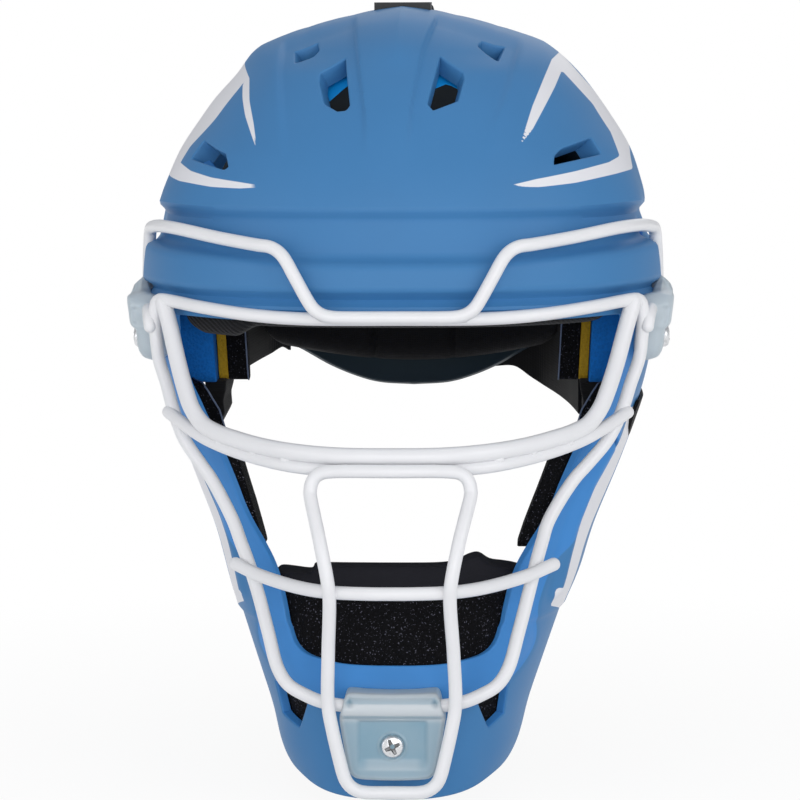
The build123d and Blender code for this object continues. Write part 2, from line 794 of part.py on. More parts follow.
for place_word, rivet_y in (("front", side_strap_run[0] + rivet_head), ("rear", side_strap_run[1] - rivet_head)):
    rivet_z = sum(side_strap_rise) / 2
    disc = Pos(0, rivet_y, rivet_z) * pocket(rivet_head / 2, far)
    head = wall_strip(rivet_lift, rivet_height, disc)
    with BuildPart() as strap_rivets:
        for side in (-1, 1):
            add(sided(head, side))
    save(strap_rivets, "strap_rivets_" + place_word)
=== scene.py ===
"""A baseball catcher helmet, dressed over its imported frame."""

import json
import math

import bmesh
import bpy
import numpy as np
from bpy.props import FloatProperty, FloatVectorProperty, IntProperty, PointerProperty
from mathutils import Matrix, Vector


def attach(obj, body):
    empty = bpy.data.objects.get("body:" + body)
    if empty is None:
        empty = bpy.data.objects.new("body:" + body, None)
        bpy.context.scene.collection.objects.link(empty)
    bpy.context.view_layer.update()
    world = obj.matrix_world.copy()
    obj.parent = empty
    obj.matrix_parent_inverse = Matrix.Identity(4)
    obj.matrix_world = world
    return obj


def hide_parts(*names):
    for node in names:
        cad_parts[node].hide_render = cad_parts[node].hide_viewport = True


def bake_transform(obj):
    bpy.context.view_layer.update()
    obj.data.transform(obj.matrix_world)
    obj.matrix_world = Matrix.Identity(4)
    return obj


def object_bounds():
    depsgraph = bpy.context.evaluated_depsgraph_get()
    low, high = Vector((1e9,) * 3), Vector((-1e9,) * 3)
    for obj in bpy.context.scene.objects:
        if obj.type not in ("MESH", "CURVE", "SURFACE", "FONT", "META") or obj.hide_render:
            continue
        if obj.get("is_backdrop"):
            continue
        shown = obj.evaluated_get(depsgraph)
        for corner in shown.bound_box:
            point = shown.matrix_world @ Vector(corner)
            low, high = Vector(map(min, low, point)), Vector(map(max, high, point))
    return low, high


bl_info = {
    "name": "Catcher Helmet",
    "version": (1, 0, 0),
    "blender": (4, 5, 0),
    "location": "View3D > Sidebar > Helmet",
    "description": "Dresses the packed catcher helmet with its shell, cage, padding and straps",
    "category": "Add Mesh",
}

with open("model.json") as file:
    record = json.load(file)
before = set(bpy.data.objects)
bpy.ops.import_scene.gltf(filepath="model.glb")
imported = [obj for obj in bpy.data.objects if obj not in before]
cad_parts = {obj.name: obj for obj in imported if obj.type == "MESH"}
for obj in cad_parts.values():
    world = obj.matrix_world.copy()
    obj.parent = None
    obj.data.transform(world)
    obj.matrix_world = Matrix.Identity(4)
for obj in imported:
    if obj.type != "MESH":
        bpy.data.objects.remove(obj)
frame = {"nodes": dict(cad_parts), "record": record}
cad_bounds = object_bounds()
MM = 0.001
HELMET = "helmet"
REAR = "rear"
SIDES = ((-1, "left"), (1, "right"))

# The camera, in the helmet's own frame
CAMERA_TURN = math.radians(2.3)
CAMERA_TILT = math.radians(6.5)
CAMERA_DISTANCE = 1600.0
CAMERA_LEVEL = -55.0
CAMERA_FOCUS = 3542.0
PHOTO_SIZE = 800.0
PHOTO_AXIS = (405.0, 400.0)


def helmet_frame(vector):
    """Turns a vector of the level camera frame into the helmet's frame."""
    x, y, z = vector
    cos, sin = math.cos(CAMERA_TILT), math.sin(CAMERA_TILT)
    return Vector((x, y * cos + z * sin, -y * sin + z * cos))


CAMERA_PLACE = helmet_frame((
    CAMERA_DISTANCE * math.sin(CAMERA_TURN),
    -CAMERA_DISTANCE * math.cos(CAMERA_TURN),
    CAMERA_LEVEL,
))
CAMERA_RIGHT = helmet_frame((math.cos(CAMERA_TURN), math.sin(CAMERA_TURN), 0))
CAMERA_AHEAD = helmet_frame((-math.sin(CAMERA_TURN), math.cos(CAMERA_TURN), 0))
CAMERA_UP = helmet_frame((0, 0, 1))

# Sections of the shell, as in the part: height, half width, front reach,
# rear reach, widest place and squareness, from the crown down, in millimetres
SECTIONS = np.array([
    (120.9, 0.5, 0.5, 0.5, 0.0, 2.1),
    (120.6, 9.0, 10.0, 10.0, 0.0, 2.1),
    (120.0, 19.9, 22.0, 22.0, 0.0, 2.1),
    (118.0, 34.2, 37.5, 38.9, 0.0, 2.1),
    (113.4, 48.5, 54.0, 58.0, 0.0, 2.15),
    (105.0, 63.4, 70.3, 77.0, 0.0, 2.2),
    (92.4, 77.0, 84.2, 92.0, 0.0, 2.25),
    (76.8, 89.0, 95.2, 103.0, 0.0, 2.3),
    (57.6, 100.8, 103.3, 111.0, 0.0, 2.4),
    (37.2, 108.6, 108.6, 115.0, 0.0, 2.5),
    (18.0, 112.5, 111.0, 116.0, 0.0, 2.5),
    (0.0, 114.0, 112.0, 116.0, 0.0, 2.5),
    (-19.0, 112.5, 112.5, 114.0, 0.0, 2.5),
    (-44.3, 107.5, 115.0, 109.0, -2.8, 2.5),
    (-73.9, 97.0, 120.0, 99.0, -8.5, 2.5),
    (-105.5, 83.2, 127.0, 84.0, -22.0, 2.5),
    (-135.0, 72.0, 135.0, 66.0, -38.0, 2.5),
    (-160.4, 62.5, 140.5, 48.0, -50.0, 2.5),
    (-185.7, 53.5, 142.0, 30.0, -58.0, 2.5),
    (-211.0, 46.1, 139.9, 14.0, -62.0, 2.5),
    (-227.9, 41.0, 136.0, 7.0, -63.2, 2.5),
])
WALL = 4.0
CROWN = 120.0
# Radius of the shell's edges
ROUND_EDGE = 0.8
# How far under the hull's face the backs of the pads lie
PAD_BACK = 4.4
# Beyond every outline: keeps a mask off the side where it isn't wanted
FAR = 50.0


def flow(points, steps=10, closed=False):
    """A smooth line through points of any number of columns."""
    table = np.array(points, float)
    if closed:
        full = np.vstack([table[-1:], table, table[:2]])
    else:
        full = np.vstack([2 * table[0] - table[1], table, 2 * table[-1] - table[-2]])
    line = []
    for index in range(1, len(full) - 2):
        a, b, c, d = full[index - 1:index + 3]
        for step in range(steps):
            t = step / steps
            line.append(0.5 * (
                2 * b + (c - a) * t + (2 * a - 5 * b + 4 * c - d) * t ** 2 + (3 * b - a - 3 * c + d) * t ** 3
            ))
    if not closed:
        line.append(table[-1])
    return np.array(line)


FINE_SECTIONS = flow(SECTIONS, 16)


def section_at(z, inset=0.0):
    """Half width, front, rear, widest place and squareness of the shell at z.

    inset draws the shell in by so many millimetres.
    """
    heights = FINE_SECTIONS[::-1, 0]
    level = np.where(np.asarray(z) > 0, z * CROWN / (CROWN - inset), z)
    width, front, rear, middle, square = (
        np.interp(level, heights, FINE_SECTIONS[::-1, column]) for column in range(1, 6)
    )
    return (
        np.maximum(width - inset, width * 0.3), np.maximum(front - inset, front * 0.3),
        np.maximum(rear - inset, rear * 0.3), middle, square,
    )


def front_depth(x, z, inset=0.0):
    """The y of the front of the shell at x and z."""
    width, front, rear, middle, square = section_at(z, inset)
    share = np.clip(np.abs(x) / width, 0, 0.999)
    return middle - (front + middle) * (1 - share ** square) ** (1 / square)


def photo_ray(u, v, y):
    """The x and z at depth y of the helmet that a place in the photograph shows."""
    aim = CAMERA_AHEAD + CAMERA_RIGHT * ((u - PHOTO_AXIS[0]) / CAMERA_FOCUS)
    aim = aim + CAMERA_UP * ((PHOTO_AXIS[1] - v) / CAMERA_FOCUS)
    reach = (y - CAMERA_PLACE.y) / aim.y
    place = CAMERA_PLACE + aim * reach
    return place.x, place.z


def on_shell(u, v):
    """The x and z on the shell's front that a place in the photograph shows."""
    y = -90.0
    for _ in range(30):
        x, z = photo_ray(u, v, y)
        y = 0.5 * y + 0.5 * float(front_depth(np.array(x), np.array(z)))
    return photo_ray(u, v, y)


def traced(places):
    """The x and z on the shell of places in the photograph."""
    return [on_shell(u, v) for u, v in places]


# Smooth masks and distances, all in millimetres


def ramp(value, low, high):
    """0 below low, 1 above high and smooth between."""
    share = np.clip((value - low) / (high - low), 0, 1)
    return share * share * (3 - 2 * share)


def bump(value, middle, spread):
    """1 at the middle, falling smoothly to 0."""
    return np.exp(-(((value - middle) / spread) ** 2))


def polygon_distance(points, across, up):
    """Signed distance from places to a closed outline, negative inside it."""
    corners = np.array(points, float)
    nearest = np.full(across.shape, 1e9)
    inside = np.zeros(across.shape, bool)
    for (ax, az), (bx, bz) in zip(corners, np.roll(corners, -1, 0)):
        dx, dz = bx - ax, bz - az
        along = np.clip(((across - ax) * dx + (up - az) * dz) / (dx * dx + dz * dz + 1e-12), 0, 1)
        nearest = np.minimum(nearest, (across - ax - along * dx) ** 2 + (up - az - along * dz) ** 2)
        if az != bz:
            crosses = ((az > up) != (bz > up)) & (across < dx * (up - az) / dz + ax)
            inside ^= crosses
    return np.where(inside, -np.sqrt(nearest), np.sqrt(nearest))


def rounded(points, radius, steps=8):
    """A closed outline with its corners rounded."""
    corners = [Vector(point) for point in points]
    outline = []
    for index, corner in enumerate(corners):
        before = (corners[index - 1] - corner).normalized()
        after = (corners[(index + 1) % len(corners)] - corner).normalized()
        half = before.angle(after) / 2
        reach = radius / math.tan(half)
        middle = corner + (before + after).normalized() * (radius / math.sin(half))
        start, stop = corner + before * reach - middle, corner + after * reach - middle
        turn = start.angle_signed(stop)
        first = math.atan2(start.y, start.x)
        for step in range(steps + 1):
            angle = first - turn * step / steps
            outline.append((middle.x + radius * math.cos(angle), middle.y + radius * math.sin(angle)))
    return outline


# The shell's grid: rings down the hull, each with the same even turns


def hull_place(turn, z, inset=0.0):
    """Places of the hull at turns round it and heights, drawn in by inset."""
    width, front, rear, middle, square = section_at(z, inset)
    across = np.sign(np.cos(turn)) * np.abs(np.cos(turn)) ** (2 / square)
    along = np.sign(np.sin(turn)) * np.abs(np.sin(turn)) ** (2 / square)
    reach = np.where(along > 0, rear - middle, front + middle)
    return np.stack([width * across, middle + reach * along, np.broadcast_to(z, across.shape)], -1)


def even_turns(count):
    """Turns that are evenly spaced along the hull's middle ring, from its rear."""
    fine = np.linspace(0, math.tau, 14401) + math.pi / 2
    ring = hull_place(fine, np.full(fine.shape, -5.0))
    run = np.concatenate([[0], np.cumsum(np.linalg.norm(np.diff(ring, axis=0), axis=1))])
    return np.interp(np.arange(count) / count * run[-1], run, fine)


def even_levels(step):
    """Heights that are evenly spaced down the hull's front."""
    profile = FINE_SECTIONS[:, [2, 0]]
    run = np.concatenate([[0], np.cumsum(np.linalg.norm(np.diff(profile, axis=0), axis=1))])
    count = int(run[-1] / step)
    return np.interp(np.arange(count + 1) / count * run[-1], run, profile[:, 1])


def hull_grid(across, down):
    """The hull's places and outward normals on a grid."""
    turns = even_turns(across)
    levels = even_levels(down)
    turn, z = np.meshgrid(turns, levels)
    places = hull_place(turn, z)
    along = np.roll(places, -1, 1) - np.roll(places, 1, 1)
    fall = np.gradient(places, axis=0)
    normals = np.cross(fall, along)
    normals /= np.linalg.norm(normals, axis=-1, keepdims=True) + 1e-12
    return places, normals


def clipped(grid, field):
    """Cuts a ring grid where field is 0 and keeps the negative side.

    Gives the rows of values that are left, their faces and the cut edges.
    """
    rows, turns = field.shape
    flat = grid.reshape(rows * turns, -1)
    value = field.ravel()
    index = np.arange(rows * turns).reshape(rows, turns)
    beside = np.roll(index, -1, 1)
    quads = np.stack([index[:-1], index[1:], beside[1:], beside[:-1]], 2).reshape(-1, 4)
    keep = value < 0
    inside = keep[quads]
    faces = quads[inside.all(1)].tolist()
    made, extra, cuts = {}, [], []
    for quad in quads[inside.any(1) & ~inside.all(1)].tolist():
        corners = []
        for p, q in zip(quad, quad[1:] + quad[:1]):
            if keep[p]:
                corners.append(p)
            if keep[p] != keep[q]:
                key = (min(p, q), max(p, q))
                if key not in made:
                    share = value[p] / (value[p] - value[q])
                    made[key] = len(flat) + len(extra)
                    extra.append(flat[p] + share * (flat[q] - flat[p]))
                corners.append(made[key])
        faces.append(corners)
        for p, q in zip(corners, corners[1:] + corners[:1]):
            if p >= len(flat) and q >= len(flat):
                cuts.append((p, q))
    full = np.vstack([flat, np.array(extra)]) if extra else flat
    used = np.unique(np.concatenate([np.array(face) for face in faces]))
    names = np.full(len(full), -1)
    names[used] = np.arange(len(used))
    faces = [[int(names[corner]) for corner in face] for face in faces]
    cuts = [(int(names[p]), int(names[q])) for p, q in cuts]
    return full[used], faces, cuts


def rim_rings(edge, out, normal, wall, well):
    """Rings of places that round off an edge and run down to the wall's inner face.

    Where well is more than the wall, they go on to that depth with a draft.
    """
    rings = []
    for turn in (30, 60, 90):
        angle = math.radians(turn)
        rings.append(edge + out * ROUND_EDGE * math.sin(angle) - normal * ROUND_EDGE * (1 - math.cos(angle)))
    deep = np.maximum(well, wall)
    draft = ROUND_EDGE + 0.16 * (deep - wall)
    for share in (0.35, 0.7, 0.95):
        rings.append(edge + out * (ROUND_EDGE + (draft - ROUND_EDGE) * share) - normal * deep * share)
    hollow = well > wall
    rings.append(edge + out * np.where(hollow, draft * 0.6, ROUND_EDGE * 0.5) - normal * deep)
    if hollow.any():
        rings.append(edge + out * np.where(hollow, -1.2, ROUND_EDGE * 0.5) - normal * deep)
    return rings


def walled(name, rows, faces, cuts):
    """A closed wall from clipped rows, and the marks of its vertices.

    A row holds the outer and the inner place, how far the rim goes in and the marks.
    """
    outer, inner, well, marks = rows[:, 0:3], rows[:, 3:6], rows[:, 6], rows[:, 7:]
    count = len(rows)
    normal = outer - inner
    normal /= np.linalg.norm(normal, axis=1, keepdims=True)
    out = np.zeros_like(outer)
    for p, q in cuts:
        edge = outer[q] - outer[p]
        away = np.cross(edge, normal[p] + normal[q])
        out[p] += away
        out[q] += away
    rim = np.unique(np.array(cuts).ravel())
    length = np.linalg.norm(out[rim], axis=1, keepdims=True)
    wall = np.linalg.norm(outer[rim] - inner[rim], axis=1, keepdims=True)
    rings = rim_rings(outer[rim], out[rim] / np.maximum(length, 1e-9), normal[rim], wall, well[rim, None])
    vertices = [outer, inner] + rings
    starts = [2 * count + len(rim) * ring for ring in range(len(rings))]
    spot = {int(vertex): place for place, vertex in enumerate(rim)}
    polygons = list(faces)
    slots = [0] * len(faces)
    polygons += [[corner + count for corner in reversed(face)] for face in faces]
    slots += [1] * len(faces)
    for p, q in cuts:
        a, b = spot[p], spot[q]
        upper = (p, q)
        for ring, start in enumerate(starts):
            lower = (start + a, start + b)
            polygons.append([upper[1], upper[0], lower[0], lower[1]])
            slots.append(0 if ring < 2 or well[p] > 0 else 1)
            upper = lower
        polygons.append([upper[1], upper[0], p + count, q + count])
        slots.append(1)
    mesh = bpy.data.meshes.new(name)
    mesh.from_pydata((np.vstack(vertices) * MM).tolist(), [], polygons)
    mesh.polygons.foreach_set("material_index", slots)
    mesh.polygons.foreach_set("use_smooth", [True] * len(polygons))
    mesh.set_sharp_from_angle(angle=math.radians(38))
    full = np.vstack([marks, marks] + [marks[rim]] * len(rings))
    return mesh, full


def mark(mesh, name, values):
    """Keeps a number for each vertex, for the finish to read."""
    attribute = mesh.attributes.new(name, "FLOAT", "POINT")
    attribute.data.foreach_set("value", np.asarray(values, np.float32))


def show(mesh, *finishes):
    """Puts a mesh in the scene under its own name, with its finishes."""
    piece = bpy.data.objects.new(mesh.name, mesh)
    bpy.context.scene.collection.objects.link(piece)
    for finish in finishes:
        mesh.materials.append(finish)
    return piece


def settle(piece, body, slot, *nodes):
    """Rides a piece on its body and puts it in place of CAD nodes; slot is not used."""
    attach(piece, body)
    if nodes:
        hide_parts(*nodes)
    return piece


# Shader maths: a wrapped socket, and the finish that makes nodes


class Tone:
    """A number that changes over a surface."""

    def __init__(self, finish, socket):
        self.finish = finish
        self.socket = socket

    def maths(self, operation, *others):
        sockets = dict(enumerate((self,) + others))
        return self.finish.add("ShaderNodeMath", {"operation": operation}, sockets)

    def __add__(self, other):
        return self.maths("ADD", other)

    __radd__ = __add__

    def __sub__(self, other):
        return self.maths("SUBTRACT", other)

    def __rsub__(self, other):
        return self.maths("MULTIPLY", -1.0).maths("ADD", other)

    def __mul__(self, other):
        return self.maths("MULTIPLY", other)

    __rmul__ = __mul__

    def __truediv__(self, other):
        return self.maths("DIVIDE", other)

    def above(self, level, soft):
        """0 below the level and 1 above it, over a soft width."""
        return ((self - level) / soft + 0.5).maths("MAXIMUM", 0.0).maths("MINIMUM", 1.0)

    def wave(self):
        return self.maths("SINE")


class Nodes:
    """The emptied node tree of a material or a world."""

    def __init__(self, owner):
        owner.use_nodes = True
        self.tree = owner.node_tree
        self.tree.nodes.clear()

    def put(self, socket, value):
        """Links a tone to a socket, or sets its value."""
        if isinstance(value, Tone):
            self.tree.links.new(value.socket, socket)
        else:
            socket.default_value = value

    def add(self, kind, settings=None, sockets=None, out=0):
        """A node: its kind, its settings, then the values or links of its sockets."""
        node = self.tree.nodes.new(kind)
        for key, value in (settings or {}).items():
            setattr(node, key, value)
        for key, value in (sockets or {}).items():
            self.put(node.inputs[key], value)
        return Tone(self, node.outputs[out])

    def finish_at(self, kind, shader):
        """Ends the tree in an output node that takes the shader."""
        end = self.tree.nodes.new(kind)
        self.put(end.inputs[0], shader)
        return end


class Finish(Nodes):
    """A material of nodes round one Principled shader."""

    def __init__(self, name, **constants):
        self.material = bpy.data.materials.new(name)
        super().__init__(self.material)
        self.shader = self.tree.nodes.new("ShaderNodeBsdfPrincipled")
        self.end = self.finish_at("ShaderNodeOutputMaterial", Tone(self, self.shader.outputs[0]))
        for key, value in constants.items():
            self.put(self.shader.inputs[key.replace("_", " ")], value)

    def place(self):
        """The place on the piece, in metres."""
        return self.add("ShaderNodeTexCoord", out=3)

    def noise(self, size, detail=2.0, rough=0.5, stretch=None):
        """Noise with features of a size in millimetres."""
        where = self.place()
        if stretch:
            where = self.add("ShaderNodeVectorMath", {"operation": "MULTIPLY"}, {0: where, 1: stretch})
        sockets = {"Vector": where, "Scale": 1000.0 / size, "Detail": detail, "Roughness": rough}
        return self.add("ShaderNodeTexNoise", None, sockets)

    def cells(self, size):
        """Distance from the middles of cells of a size in millimetres."""
        return self.add("ShaderNodeTexVoronoi", None, {"Vector": self.place(), "Scale": 1000.0 / size})

    def read(self, name):
        """A number that the mesh keeps."""
        return self.add("ShaderNodeAttribute", {"attribute_name": name}, out=2)

    def mix(self, factor, low, high):
        """A colour between two colours."""
        return self.add("ShaderNodeMix", {"data_type": "RGBA"}, {0: factor, 6: low, 7: high}, 2)

    def colour(self, value):
        self.put(self.shader.inputs["Base Color"], value)

    def rough(self, value):
        self.put(self.shader.inputs["Roughness"], value)

    def relief(self, height, depth, strength=1.0):
        """Raises the surface by height, at most depth millimetres."""
        sockets = {"Strength": strength, "Distance": depth * MM, "Height": height}
        self.put(self.shader.inputs["Normal"], self.add("ShaderNodeBump", None, sockets))


def shaded(colour, share):
    """A colour made darker or paler by a share."""
    return tuple(min(1.0, channel * share) for channel in colour[:3]) + (1.0,)


def shell_paint(colours):
    """Matte paint with white stripes, over plastic that shows bright round the port."""
    finish = Finish("shell_paint", Specular_IOR_Level=0.28)
    stripe = finish.read("stripe").above(0.0, 0.22)
    band = finish.read("band").above(0.0, 0.3)
    cloud = finish.noise(38.0, 3.0)
    grain = finish.noise(0.45, 2.0, 0.6)
    speck = finish.cells(1.1).above(0.16, 0.04)
    blue = finish.mix(cloud, shaded(colours.paint, 0.94), shaded(colours.paint, 1.06))
    blue = finish.mix((1 - speck) * 0.16, blue, shaded(colours.paint, 1.25))
    bright = finish.mix(cloud, shaded(colours.plastic, 0.93), shaded(colours.plastic, 1.05))
    blue = finish.mix(band, blue, bright)
    white = finish.mix(cloud, shaded(colours.stripe, 0.97), shaded(colours.stripe, 1.0))
    finish.colour(finish.mix(stripe, blue, white))
    finish.rough(0.4 + 0.1 * grain + 0.08 * cloud - 0.1 * stripe)
    finish.relief(grain * 0.5 + stripe * 1.2, 0.05, 0.5)
    return finish.material


def raw_plastic(name, colour):
    """Bright moulded plastic, with fine flow marks."""
    finish = Finish(name, Specular_IOR_Level=0.4)
    cloud = finish.noise(30.0, 2.0)
    grain = finish.noise(0.7, 2.0)
    streak = finish.noise(6.0, stretch=(1.0, 1.0, 0.12))
    tone = finish.mix(cloud, shaded(colour, 0.92), shaded(colour, 1.04))
    finish.colour(finish.mix(streak * 0.3, tone, shaded(colour, 0.8)))
    finish.rough(0.42 + 0.15 * grain)
    finish.relief(grain + streak * 0.5, 0.05, 0.4)
    return finish.material


def moulded(name, colour, shades, cloud_size, grain, rough, relief, gloss):
    """Plastic in one colour with clouds between two shades and a fine grain."""
    finish = Finish(name, Specular_IOR_Level=gloss)
    cloud = finish.noise(cloud_size)
    fine = finish.noise(*grain)
    finish.colour(finish.mix(cloud, shaded(colour, shades[0]), shaded(colour, shades[1])))
    finish.rough(rough[0] + rough[1] * fine)
    finish.relief(fine, *relief)
    return finish.material


def painted_shade_lining(colours):
    """Plastic of the rear plate's inside, painted dark as shade, faintly blue."""
    return moulded(
        "painted_shade_lining", colours.lining_painted_shade, (0.85, 1.15), 26.0, (0.7,), (0.45, 0.15), (0.05, 0.4), 0.35,
    )


def black_plastic(colours):
    """Black moulded plastic with a fine spark texture."""
    return moulded(
        "black_plastic", colours.black, (0.8, 1.3), 10.0, (0.5, 3.0, 0.65), (0.42, 0.2), (0.08, 0.5), 0.45,
    )


def cage_coat(colours):
    """White powder coat on wire, a little uneven, with a soft gloss."""
    finish = Finish("cage_coat", Coat_Weight=0.25, Coat_Roughness=0.25, Specular_IOR_Level=0.5)
    cloud = finish.noise(14.0, 3.0)
    peel = finish.noise(1.4, 3.0, 0.55)
    finish.colour(finish.mix(cloud, shaded(colours.cage, 0.96), shaded(colours.cage, 1.0)))
    finish.rough(0.3 + 0.14 * peel)
    finish.relief(peel, 0.06, 0.45)
    return finish.material


def clear_plastic(colours):
    """Frosted clear plastic: blue where it is thin, milky at its edges, with painted highlights and a painted pale
    band where the wire shows through.
    """
    finish = Finish("clear_plastic", Transmission_Weight=0.35, IOR=1.45, Specular_IOR_Level=0.5)
    milk_and_painted_light = finish.read("milk_and_painted_light")
    cloud = finish.noise(12.0, 2.0)
    frost = finish.noise(0.5, 2.0, 0.6)
    tone = finish.mix(milk_and_painted_light, tuple(colours.clip_deep) + (1.0,), tuple(colours.clip) + (1.0,))
    finish.colour(finish.mix(cloud * 0.3, tone, shaded(colours.clip, 0.9)))
    finish.rough(0.26 + 0.1 * frost + 0.08 * cloud)
    finish.relief(frost * 0.3 + cloud * 0.3, 0.05, 0.3)
    return finish.material


def plated_metal(colours):
    """Bright plating with turning marks, small wear and painted shade in the cross recess."""
    finish = Finish("plated_metal", Metallic=1.0)
    turned = finish.noise(0.5, 3.0, 0.6, stretch=(0.15, 1.0, 1.0))
    worn = finish.noise(2.4, 3.0).above(0.58, 0.12)
    bright = finish.mix(worn * 0.5, tuple(colours.metal) + (1.0,), shaded(colours.metal, 0.7))
    # Painted shade: the cross recess darkened nearly to black
    finish.colour(finish.mix(finish.read("painted_recess_shade") * 0.85, bright, shaded(colours.metal, 0.12)))
    finish.rough(0.16 + 0.2 * turned + 0.12 * worn)
    finish.relief(turned, 0.03, 0.5)
    return finish.material


def ribbed_fabric(colours):
    """Knitted black fabric with slanting wavy ribs."""
    finish = Finish("ribbed_fabric", Sheen_Weight=0.05, Sheen_Roughness=0.5, Specular_IOR_Level=0.3)
    along, across = finish.read("along"), finish.read("across")
    wander = finish.noise(16.0, 1.0) * 5.0
    rib = ((along * 2.3 + across * 2.6 + wander) * 1.2).wave() * 0.5 + 0.5
    thread = ((across * 9.0).wave() * 0.5 + 0.5) * 0.3
    fuzz = finish.noise(0.5, 3.0, 0.65)
    height = rib * 0.8 + thread + fuzz * 0.35
    finish.colour(finish.mix(rib * 0.7 + fuzz * 0.3, shaded(colours.fabric, 0.4), shaded(colours.fabric, 1.6)))
    finish.rough(0.75 + 0.2 * fuzz)
    finish.relief(height, 0.5, 0.8)
    return finish.material


def plain_fabric(colours):
    """Smooth black fabric with a fine knit."""
    finish = Finish("plain_fabric", Sheen_Weight=0.03, Sheen_Roughness=0.5, Specular_IOR_Level=0.25)
    along, across = finish.read("along"), finish.read("across")
    warp = (along * 7.5).wave() * 0.5 + 0.5
    weft = (across * 7.5).wave() * 0.5 + 0.5
    fuzz = finish.noise(0.6, 3.0, 0.65)
    cloud = finish.noise(22.0, 2.0)
    knit = warp * weft
    shade = finish.mix(knit * 0.6 + fuzz * 0.4, shaded(colours.fabric, 0.6), shaded(colours.fabric, 1.5))
    finish.colour(finish.mix(cloud * 0.3, shade, shaded(colours.fabric, 1.6)))
    finish.rough(0.72 + 0.2 * fuzz)
    finish.relief(knit + fuzz * 0.5, 0.25, 0.7)
    return finish.material


def speckled_foam(colours):
    """Black foam of small open cells, with pale specks."""
    finish = Finish("speckled_foam", Specular_IOR_Level=0.12)
    cell = finish.cells(1.1)
    fine = finish.noise(0.5, 3.0, 0.7)
    speck = finish.noise(0.75, 2.0, 0.55).above(0.66, 0.03)
    sheet = finish.read("smooth").above(0.5, 0.2)
    dark = finish.mix(cell, shaded(colours.foam, 0.4), shaded(colours.foam, 1.4))
    dark = finish.mix(speck, dark, shaded(colours.foam, 34.0))
    skin = finish.mix(fine, shaded(colours.foam, 3.8), shaded(colours.foam, 5.4))
    finish.colour(finish.mix(sheet, dark, skin))
    finish.rough(0.75 + 0.2 * fine)
    finish.relief((cell + fine * 0.5) * (1 - 0.8 * sheet), 0.5, 0.8)
    return finish.material


def solid_foam(name, colour, pale):
    """Cut foam of fine cells in one colour."""
    finish = Finish(name, Specular_IOR_Level=0.3)
    cell = finish.cells(1.2)
    fine = finish.noise(0.6, 3.0, 0.7)
    cloud = finish.noise(12.0, 2.0)
    tone = finish.mix(cell * 0.6 + fine * 0.4, shaded(colour, 0.72), shaded(colour, pale))
    finish.colour(finish.mix(cloud * 0.25, tone, shaded(colour, 0.8)))
    finish.rough(0.75 + 0.2 * fine)
    finish.relief(cell + fine * 0.6, 0.35, 0.7)
    return finish.material


def piping(colours):
    """Pale thread along the edge of a pad."""
    finish = Finish("piping", Specular_IOR_Level=0.3)
    twist = finish.noise(0.8, 2.0, 0.6)
    finish.colour(finish.mix(twist, shaded(colours.thread, 0.6), shaded(colours.thread, 1.1)))
    finish.rough(0.6 + 0.2 * twist)
    finish.relief(twist, 0.15, 0.6)
    return finish.material


def strap_webbing(colours):
    """Black woven webbing: rows of picks along it and a selvedge."""
    finish = Finish("strap_webbing", Sheen_Weight=0.03, Sheen_Roughness=0.45, Specular_IOR_Level=0.2)
    along, across = finish.read("along"), finish.read("across")
    pick = (along * 3.6).wave() * 0.5 + 0.5
    end = (across * 4.6 + (along * 1.8).wave() * 0.6).wave() * 0.5 + 0.5
    fuzz = finish.noise(0.6, 3.0, 0.7)
    stitch = finish.read("stitch").above(0.5, 0.2)
    weave = pick * 0.6 + end * 0.4
    tone = finish.mix(weave * 0.8 + fuzz * 0.2, shaded(colours.webbing, 0.7), shaded(colours.webbing, 1.3))
    finish.colour(finish.mix(stitch * 0.6, tone, shaded(colours.webbing, 3.0)))
    finish.rough(0.62 + 0.25 * fuzz)
    finish.relief(weave + fuzz * 0.3 + stitch * 0.8, 0.25, 0.5)
    return finish.material


def pale_floor():
    """A white floor that keeps the object's shadow."""
    finish = Finish("pale_floor", Roughness=0.9, Specular_IOR_Level=0.1)
    dust = finish.noise(60.0, 2.0)
    finish.colour(finish.mix(dust, (0.88, 0.88, 0.88, 1.0), (0.9, 0.9, 0.9, 1.0)))
    glow = finish.add("ShaderNodeEmission", None, {"Color": (1.0, 1.0, 1.0, 1.0), "Strength": 1.0})
    camera = finish.add("ShaderNodeLightPath", out=0)
    glossy = finish.add("ShaderNodeLightPath", out=3)
    through = finish.add("ShaderNodeLightPath", out=6)
    seen = camera.maths("MAXIMUM", glossy).maths("MAXIMUM", through)
    plain = Tone(finish, finish.shader.outputs[0])
    far = finish.add("ShaderNodeVectorMath", {"operation": "LENGTH"}, {0: finish.place()}, 1)
    share = 0.9 + 0.1 * far.above(0.34, 0.28)
    mixed = finish.add("ShaderNodeMixShader", None, {0: seen * share, 1: plain, 2: glow})
    finish.put(finish.end.inputs[0], mixed)
    return finish.material


# Sizes and colours that a user would change


def length_property(name, description, value, **limits):
    description += ", in millimetres"
    return FloatProperty(name=name, description=description, default=value, **limits)


def colour_property(name, description, value):
    return FloatVectorProperty(
        name=name, description=description, default=value, size=3, subtype="COLOR", min=0, max=1,
    )


class HelmetSizes(bpy.types.PropertyGroup):
    across: IntProperty(
        name="Turns", description="Grid places round the shell", default=470, min=120, max=800,
    )
    down: length_property("Ring step", "Gap between the shell's rings", 1.45, min=0.8, max=6)
    panel: length_property("Panel depth", "How far the crown's panels are sunk", 1.8)
    brim: length_property("Brim", "How far the crown's lower edge flares", 3.6)
    band: length_property("Brow band", "How far the band over the visor is sunk", 2.4)
    visor: length_property("Visor rise", "How far the visor stands out", 3.8)
    wire: length_property("Wire", "Thickness of the coated cage wire", 5.6)
    eye_wire: length_property("Eye wire", "Thickness of the bar under the eyes", 7.2)


